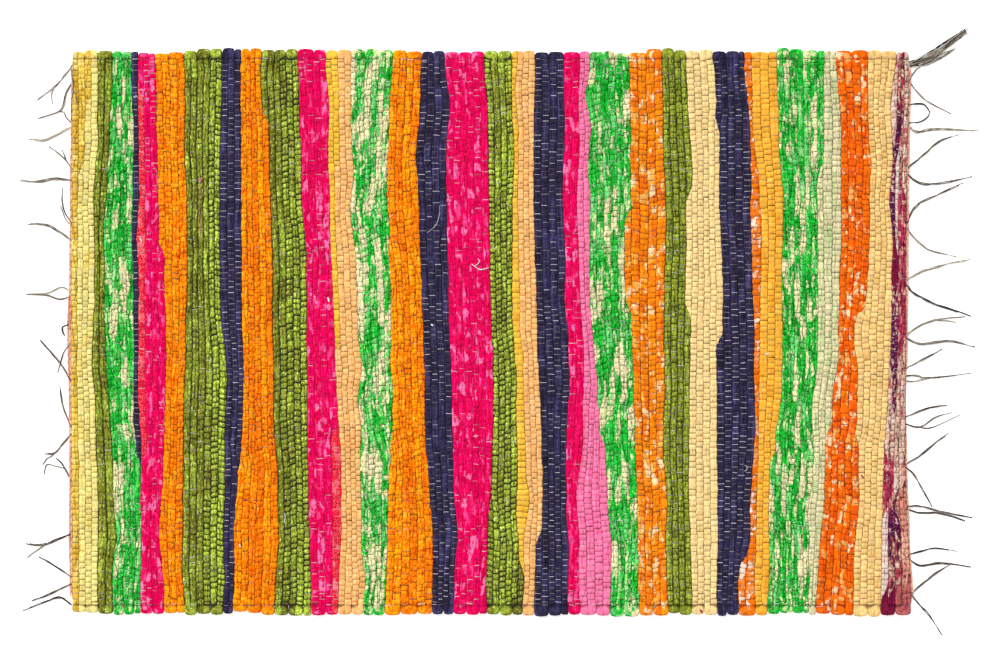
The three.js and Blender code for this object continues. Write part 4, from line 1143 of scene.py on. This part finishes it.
def thread_tube(b, path, radius, tone, material, sides=5, seed=0.0):
    """A round thread along a path of (n, 3) points in mm."""
    d = np.gradient(path, axis=0)
    d /= np.linalg.norm(d, axis=1, keepdims=True) + 1e-9
    side = np.stack([-d[:, 1], d[:, 0], np.zeros(len(d))], 1)
    side /= np.linalg.norm(side, axis=1, keepdims=True) + 1e-9
    up = np.cross(d, side)
    a = 2 * np.pi * np.arange(sides) / sides
    r = np.asarray(radius) * np.ones(len(path))
    ring = path[:, None, :] + r[:, None, None] * (np.cos(a)[None, :, None] * side[:, None, :]
                                                  + np.sin(a)[None, :, None] * up[:, None, :])
    along = np.concatenate([[0], np.cumsum(np.linalg.norm(np.diff(path, axis=0), axis=1))])
    rag = np.zeros((len(path), sides, 3))
    rag[:, :, 0] = along[:, None] + seed
    rag[:, :, 1] = np.cos(a)[None, :] * r[:, None]
    rag[:, :, 2] = np.sin(a)[None, :] * r[:, None]
    b.ring_tube(ring, {"rag": rag, "tone": np.full((len(path), sides), tone)}, material)


def fringe(side):
    b = Builder()
    for row in TUFTS[side]:
        ro, ry, ko, ky, mo, my, to, ty, w = row
        tied = ro <= 0
        root = (float(end_edge(side, ry)) - side * 2.5 if tied else side * (HALF_LENGTH + ro), ry)
        pts = [root] + [(side * max(HALF_LENGTH + o, side * float(end_edge(side, y)) + 0.9), y)
                        for o, y in ((ko, ky), (mo, my), (to, ty))]
        count = 2 if w < 1.5 else 4 if w < 2.5 else 5 if w < 4 else 17
        fan = side > 0 and ry > 280.5                # the thick bundle at the corner
        if fan and w < 4:
            count = 7
        n = 26
        line = spline(pts, n)
        t = np.linspace(0, 1, n)
        d = np.gradient(line, axis=0)
        d /= np.linalg.norm(d, axis=1, keepdims=True)
        nrm = np.stack([-d[:, 1], d[:, 0]], 1)
        length = np.sum(np.linalg.norm(np.diff(line, axis=0), axis=1))
        tuft_tone = PALE_TUFTS.get((side, ry), rng.choice((0.04, 0.10, 0.18, 0.28, 0.42)))
        for k in range(count):
            stop = 1.0 if k < 2 else rng.uniform(0.82, 1.0)
            ph = 2 * np.pi * k / count + rng.uniform(-0.5, 0.5)
            turns = length / rng.uniform(34, 60)
            spread = (0.5 * w - 0.3) * (1.5 if w > 4 else 1.0) * (0.25 + 0.75 * np.sin(np.pi * np.clip(t * 0.9 + 0.05, 0, 1)))
            spread = spread + 0.5 * w * smoothstep((t - 0.72) / 0.28) * rng.uniform(0.0, 0.3)
            off = spread * np.cos(ph + 2 * np.pi * turns * t) + 0.25 * blur(rng.standard_normal(n), 4, 0)
            r = (0.50 * (1 - 0.25 * smoothstep((t - 0.85) / 0.15)) if fan else
                 0.62 * (1 - 0.28 * smoothstep((t - 0.5) / 0.5))) * rng.uniform(0.85, 1.15)
            if fan:
                lane = 2 * (k + 0.5) / count - 1
                body = (0.62 + 0.38 * smoothstep(t / 0.3)) * (1 - 0.4 * smoothstep((t - 0.45) / 0.55))
                off = lane * (4.2 if w > 4 else 2.7) * body + 2.4 * blur(rng.standard_normal(n), 3, 0) * smoothstep(t / 0.2)
                stop = 1.0 - 0.10 * abs(lane) * rng.random()
            lift = 0.45 * (1 + np.sin(ph + 2 * np.pi * turns * t)) * min(1.0, w / 2.2)
            ground = 0.80 + lift
            rise = 2.6 * (1 - smoothstep(t * length / 11.0)) if tied else 0.0
            path = np.concatenate([line + nrm * off[:, None], (ground + rise)[:, None]], 1)
            m = max(8, int(round(n * stop)))
            thread_tube(b, path[:m], r[:m] if np.ndim(r) else r, float(np.clip(
                tuft_tone + rng.normal(0, 0.16) + (rng.choice((-0.2, -0.1, 0.3)) if fan else 0.0), 0, 1)),
                        "cotton_fringe", seed=rng.random() * 500)
    return b


# ------------------------------------------------------------------ lint
# Loose ends and scraps that lie on the rug: material, tone, radius, places.
LINT = (
    ("lint_cotton", 0.95, 0.45, ((-19.4, 72.0), (-16.5, 70.6), (-13.0, 72.5), (-11.2, 75.8), (-13.0, 78.4))),
    ("lint_cotton", 0.95, 0.5, ((-19.7, 72.5), (-15.5, 69.4), (-11.1, 66.7), (-5.9, 67.1), (-1.4, 68.7))),
    ("lint_cotton", 0.45, 0.4, ((-53.8, 134.9), (-53.8, 127.3), (-55.3, 119.5), (-58.1, 113.6), (-63.0, 108.8), (-66.9, 105.9))),
    ("lint_red", 0.6, 0.3, ((-309.8, 167.5), (-309.1, 151.5), (-309.6, 135.5), (-308.8, 117.3), (-309.1, 100.3))),
    ("lint_red", 0.85, 0.95, ((-310.1, 164.8), (-308.9, 162.1), (-309.3, 158.9))),
    ("lint_cotton", 0.8, 0.4, ((-219.4, -193.1), (-218.5, -197.3), (-219.1, -201.6), (-217.6, -205.9))),
    ("lint_red", 0.1, 0.8, ((-233.8, -117.3), (-232.5, -118.6), (-231.5, -120.1))),
    ("lint_cotton", 0.9, 0.9, ((-63.1, 8.0), (-61.9, 7.5), (-60.4, 6.8))),
    ("lint_cotton", 0.95, 0.8, ((-267.3, -225.9), (-266.7, -227.4), (-266.2, -229.1))),
    ("lint_cotton", 0.98, 1.1, ((-173.2, 36.8), (-172.2, 34.7), (-171.5, 32.0))),
    ("lint_cotton", 0.9, 0.7, ((-373.8, 100.3), (-372.3, 98.1), (-371.2, 95.5))),
    ("lint_cotton", 0.92, 0.4, ((-380.4, 251.5), (-378.7, 250.0), (-377.2, 251.8), (-375.9, 249.8))),
    ("lint_red", 0.05, 0.9, ((395.7, -152.3), (396.8, -153.6), (397.9, -155.3))),
    ("lint_cotton", 0.95, 0.6, ((293.3, -24.5), (294.8, -23.0), (295.9, -24.3), (297.4, -22.8))),
    ("lint_cotton", 0.6, 0.35, ((271.6, -141.9), (274.1, -144.0), (273.5, -147.2), (271.4, -148.3))),
    ("lint_red", 0.2, 1.2, ((223.8, -296.0), (225.1, -297.6), (226.8, -298.7))),
    ("lint_red", 0.12, 0.6, ((-263.5, -179.2), (-261.3, -178.6), (-259.2, -179.8))),
    ("lint_red", 0.12, 0.6, ((-252.8, -178.7), (-250.7, -179.6), (-249.1, -179.0))),
    ("lint_cotton", 0.12, 0.5, ((-447.5, 285.9), (-445.6, 270.9), (-444.8, 260.3), (-445.9, 249.6), (-446.5, 236.8), (-446.9, 225.1))),
    ("lint_cotton", 0.25, 0.45, ((-443.7, 257.1), (-441.1, 249.6), (-439.7, 242.1), (-440.5, 236.8))),
)


def lint():
    b = Builder()
    for material, tone, radius, places in LINT:
        n = 6 * (len(places) - 1) + 1
        line = spline(places, n)
        z = THICK + 0.05 + 0.12 * blur(rng.standard_normal(n), 2, 0)
        t = np.linspace(0, 1, n)
        r = radius * (0.75 + 0.25 * np.sin(np.pi * t)) * (1 + 0.12 * rng.standard_normal(n))
        thread_tube(b, np.concatenate([line, z[:, None]], 1), r, tone, material, seed=rng.random() * 500)
    # fine fibres that stand off the brushed green rags
    green = [p for p in range(PICKS) if plan[p][0][0] == "green"]
    for _ in range(170):
        p = int(rng.choice(green))
        y = rng.uniform(-285, 290) if rng.random() < 0.6 else rng.uniform(150, 292)
        if cloth_at(p, y) != "green":
            continue
        x = float(np.interp(y, grid_y, (edges[p] + edges[p + 1]) / 2)) + rng.normal(0, 2.4)
        length, lean = rng.uniform(5, 13), rng.normal(0, 0.5)
        u = np.linspace(-0.5, 0.5, 6)
        path = np.stack([x + length * u * math.sin(lean) + rng.normal(0, 0.35, 6), y + length * u * math.cos(lean),
                         THICK + 0.1 + 0.12 * rng.standard_normal(6)], 1)
        thread_tube(b, path, 0.19, rng.uniform(0.2, 0.9), "lint_green", sides=3, seed=rng.random() * 500)
    return b


# ------------------------------------------------------------------ ground
def warp_shade_sheet():
    """The thin close-set warp between the upper and lower faces of the rags,
    coloured very dark so that it shows as painted shade in the gaps between picks.
    """
    rows, cols = 21, 31
    ys = np.linspace(-292, 292, rows)
    co, faces, uv = [], [], []
    for z in (4.1, 4.4):
        for y in ys:
            l = float(level_curve(FIELD_LEFT, np.array([y]))[0]) + 1.5
            r = float(level_curve(STRIPES[-1][2], np.array([y]))[0]) - 1.5
            for c in range(cols):
                x = l + (r - l) * c / (cols - 1)
                co.append((x * MM, y * MM, (z + 0.08 * math.sin(x * 0.9) * math.cos(y * 0.7)) * MM))
    per = rows * cols
    for i in range(rows - 1):
        for c in range(cols - 1):
            a = i * cols + c
            faces.append((per + a, per + a + 1, per + a + cols + 1, per + a + cols))
            faces.append((a, a + cols, a + cols + 1, a + 1))
    for c in range(cols - 1):
        faces.append((c, c + 1, per + c + 1, per + c))
        b = (rows - 1) * cols + c
        faces.append((b + 1, b, per + b, per + b + 1))
    for i in range(rows - 1):
        a = i * cols
        faces.append((a + cols, a, per + a, per + a + cols))
        b = i * cols + cols - 1
        faces.append((b, b + cols, per + b + cols, per + b))
    mesh = bpy.data.meshes.new("warp_sheet_shade")
    mesh.from_pydata(co, [], faces)
    mesh.validate()
    m, t, bsdf = fabric_shader("warp_sheet_shade", 0.1)
    pos = node(t, "ShaderNodeTexCoord").outputs["Object"]
    lines = node(t, "ShaderNodeTexWave", {"Vector": pos, "Scale": 1000.0 / (WARP_PITCH * 6.2832) * 3.1416,
                                          "Distortion": 1.0, "Detail": 1.0},
                 wave_type="BANDS", bands_direction="Y").outputs["Fac"]
    # very dark browns: painted shade for the gaps between picks, striped like the warp threads
    t.links.new(mix(t, lines, lit(30, 25, 20), lit(62, 53, 44)), bsdf.inputs["Base Color"])
    b = node(t, "ShaderNodeBump", {"Height": lines, "Strength": 0.5, "Distance": 0.0005})
    t.links.new(b.outputs["Normal"], bsdf.inputs["Normal"])
    mesh.materials.append(m)
    obj = bpy.data.objects.new("warp_sheet_shade", mesh)
    bpy.context.scene.collection.objects.link(obj)
    return obj


# ------------------------------------------------------------------ assemble
pieces = []
for key, b in builders.items():
    used = sorted({tube[4] for tube in b.tubes})
    obj = b.object(key, [bpy.data.materials[m] for m in used])
    pieces.append(obj)
for face, name in ((1, "warp_stitches_top"), (-1, "warp_stitches_under")):
    obj = stitches[face].object(name, [WARP], rows=90)
    pieces.append(obj)
for side, tag in ((-1, "left"), (1, "right")):
    obj = heading(side).object("heading_yarn_" + tag, [CLOTH["heading"]])
    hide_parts("heading_" + tag)
    pieces.append(obj)
    obj = fringe(side).object("fringe_threads_" + tag, [FRINGE])
    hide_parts("fringe_" + tag)
    pieces.append(obj)
obj = lint().object("stray_threads", LINT_CLOTHS)
pieces.append(obj)
ground = warp_shade_sheet()
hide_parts("woven_field")
for obj in pieces + [ground]:
    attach(obj, "root")

triangles = {o.name: int(sum(len(p.vertices) - 2 for p in o.data.polygons)) if len(o.data.polygons) < 5000
             else int(len(o.data.loops) - 2 * len(o.data.polygons)) for o in pieces + [ground]}
print("triangles", triangles, sum(triangles.values()), "stitches", stitch_total)

# ------------------------------------------------------------------ stage
floor_mesh = bpy.data.meshes.new("floor")
floor_mesh.from_pydata([(-6, -6, -0.0004), (6, -6, -0.0004), (6, 6, -0.0004), (-6, 6, -0.0004)], [], [(0, 1, 2, 3)])
floor = bpy.data.objects.new("floor", floor_mesh)
bpy.context.scene.collection.objects.link(floor)
fm, ft, fb = fabric_shader("floor_white", 0.0)
fb.inputs["Base Color"].default_value = (0.9, 0.9, 0.9, 1)
fb.inputs["Roughness"].default_value = 0.9
fb.inputs["Emission Color"].default_value = (1, 1, 1, 1)
fb.inputs["Emission Strength"].default_value = 0.6
floor_mesh.materials.append(fm)

scene = bpy.context.scene
world = bpy.data.worlds.new("studio")
scene.world = world
world.use_nodes = True
bg = next(n for n in world.node_tree.nodes if n.type == "BACKGROUND")
bg.inputs["Color"].default_value = (1.0, 1.0, 1.0, 1)
bg.inputs["Strength"].default_value = 0.50
sun = bpy.data.lights.new("key", "SUN")
sun.energy = 3.9
sun.angle = math.radians(22)
sun_obj = bpy.data.objects.new("key", sun)
sun_obj.rotation_euler = (math.radians(-32), math.radians(-26), 0)
scene.collection.objects.link(sun_obj)

cam = bpy.data.cameras.new("camera")
cam.sensor_width = 36.0
DIST = 3.2
FRAME_W = 1.0667
cam.lens = 36.0 * DIST / FRAME_W
cam_obj = bpy.data.objects.new("camera", cam)
cam_obj.location = (0.01067, -0.0016, DIST + 0.006)
cam_obj.rotation_euler = (0, 0, 0)
scene.collection.objects.link(cam_obj)
scene.camera = cam_obj
scene.view_settings.view_transform = "Standard"
scene.view_settings.look = "None"
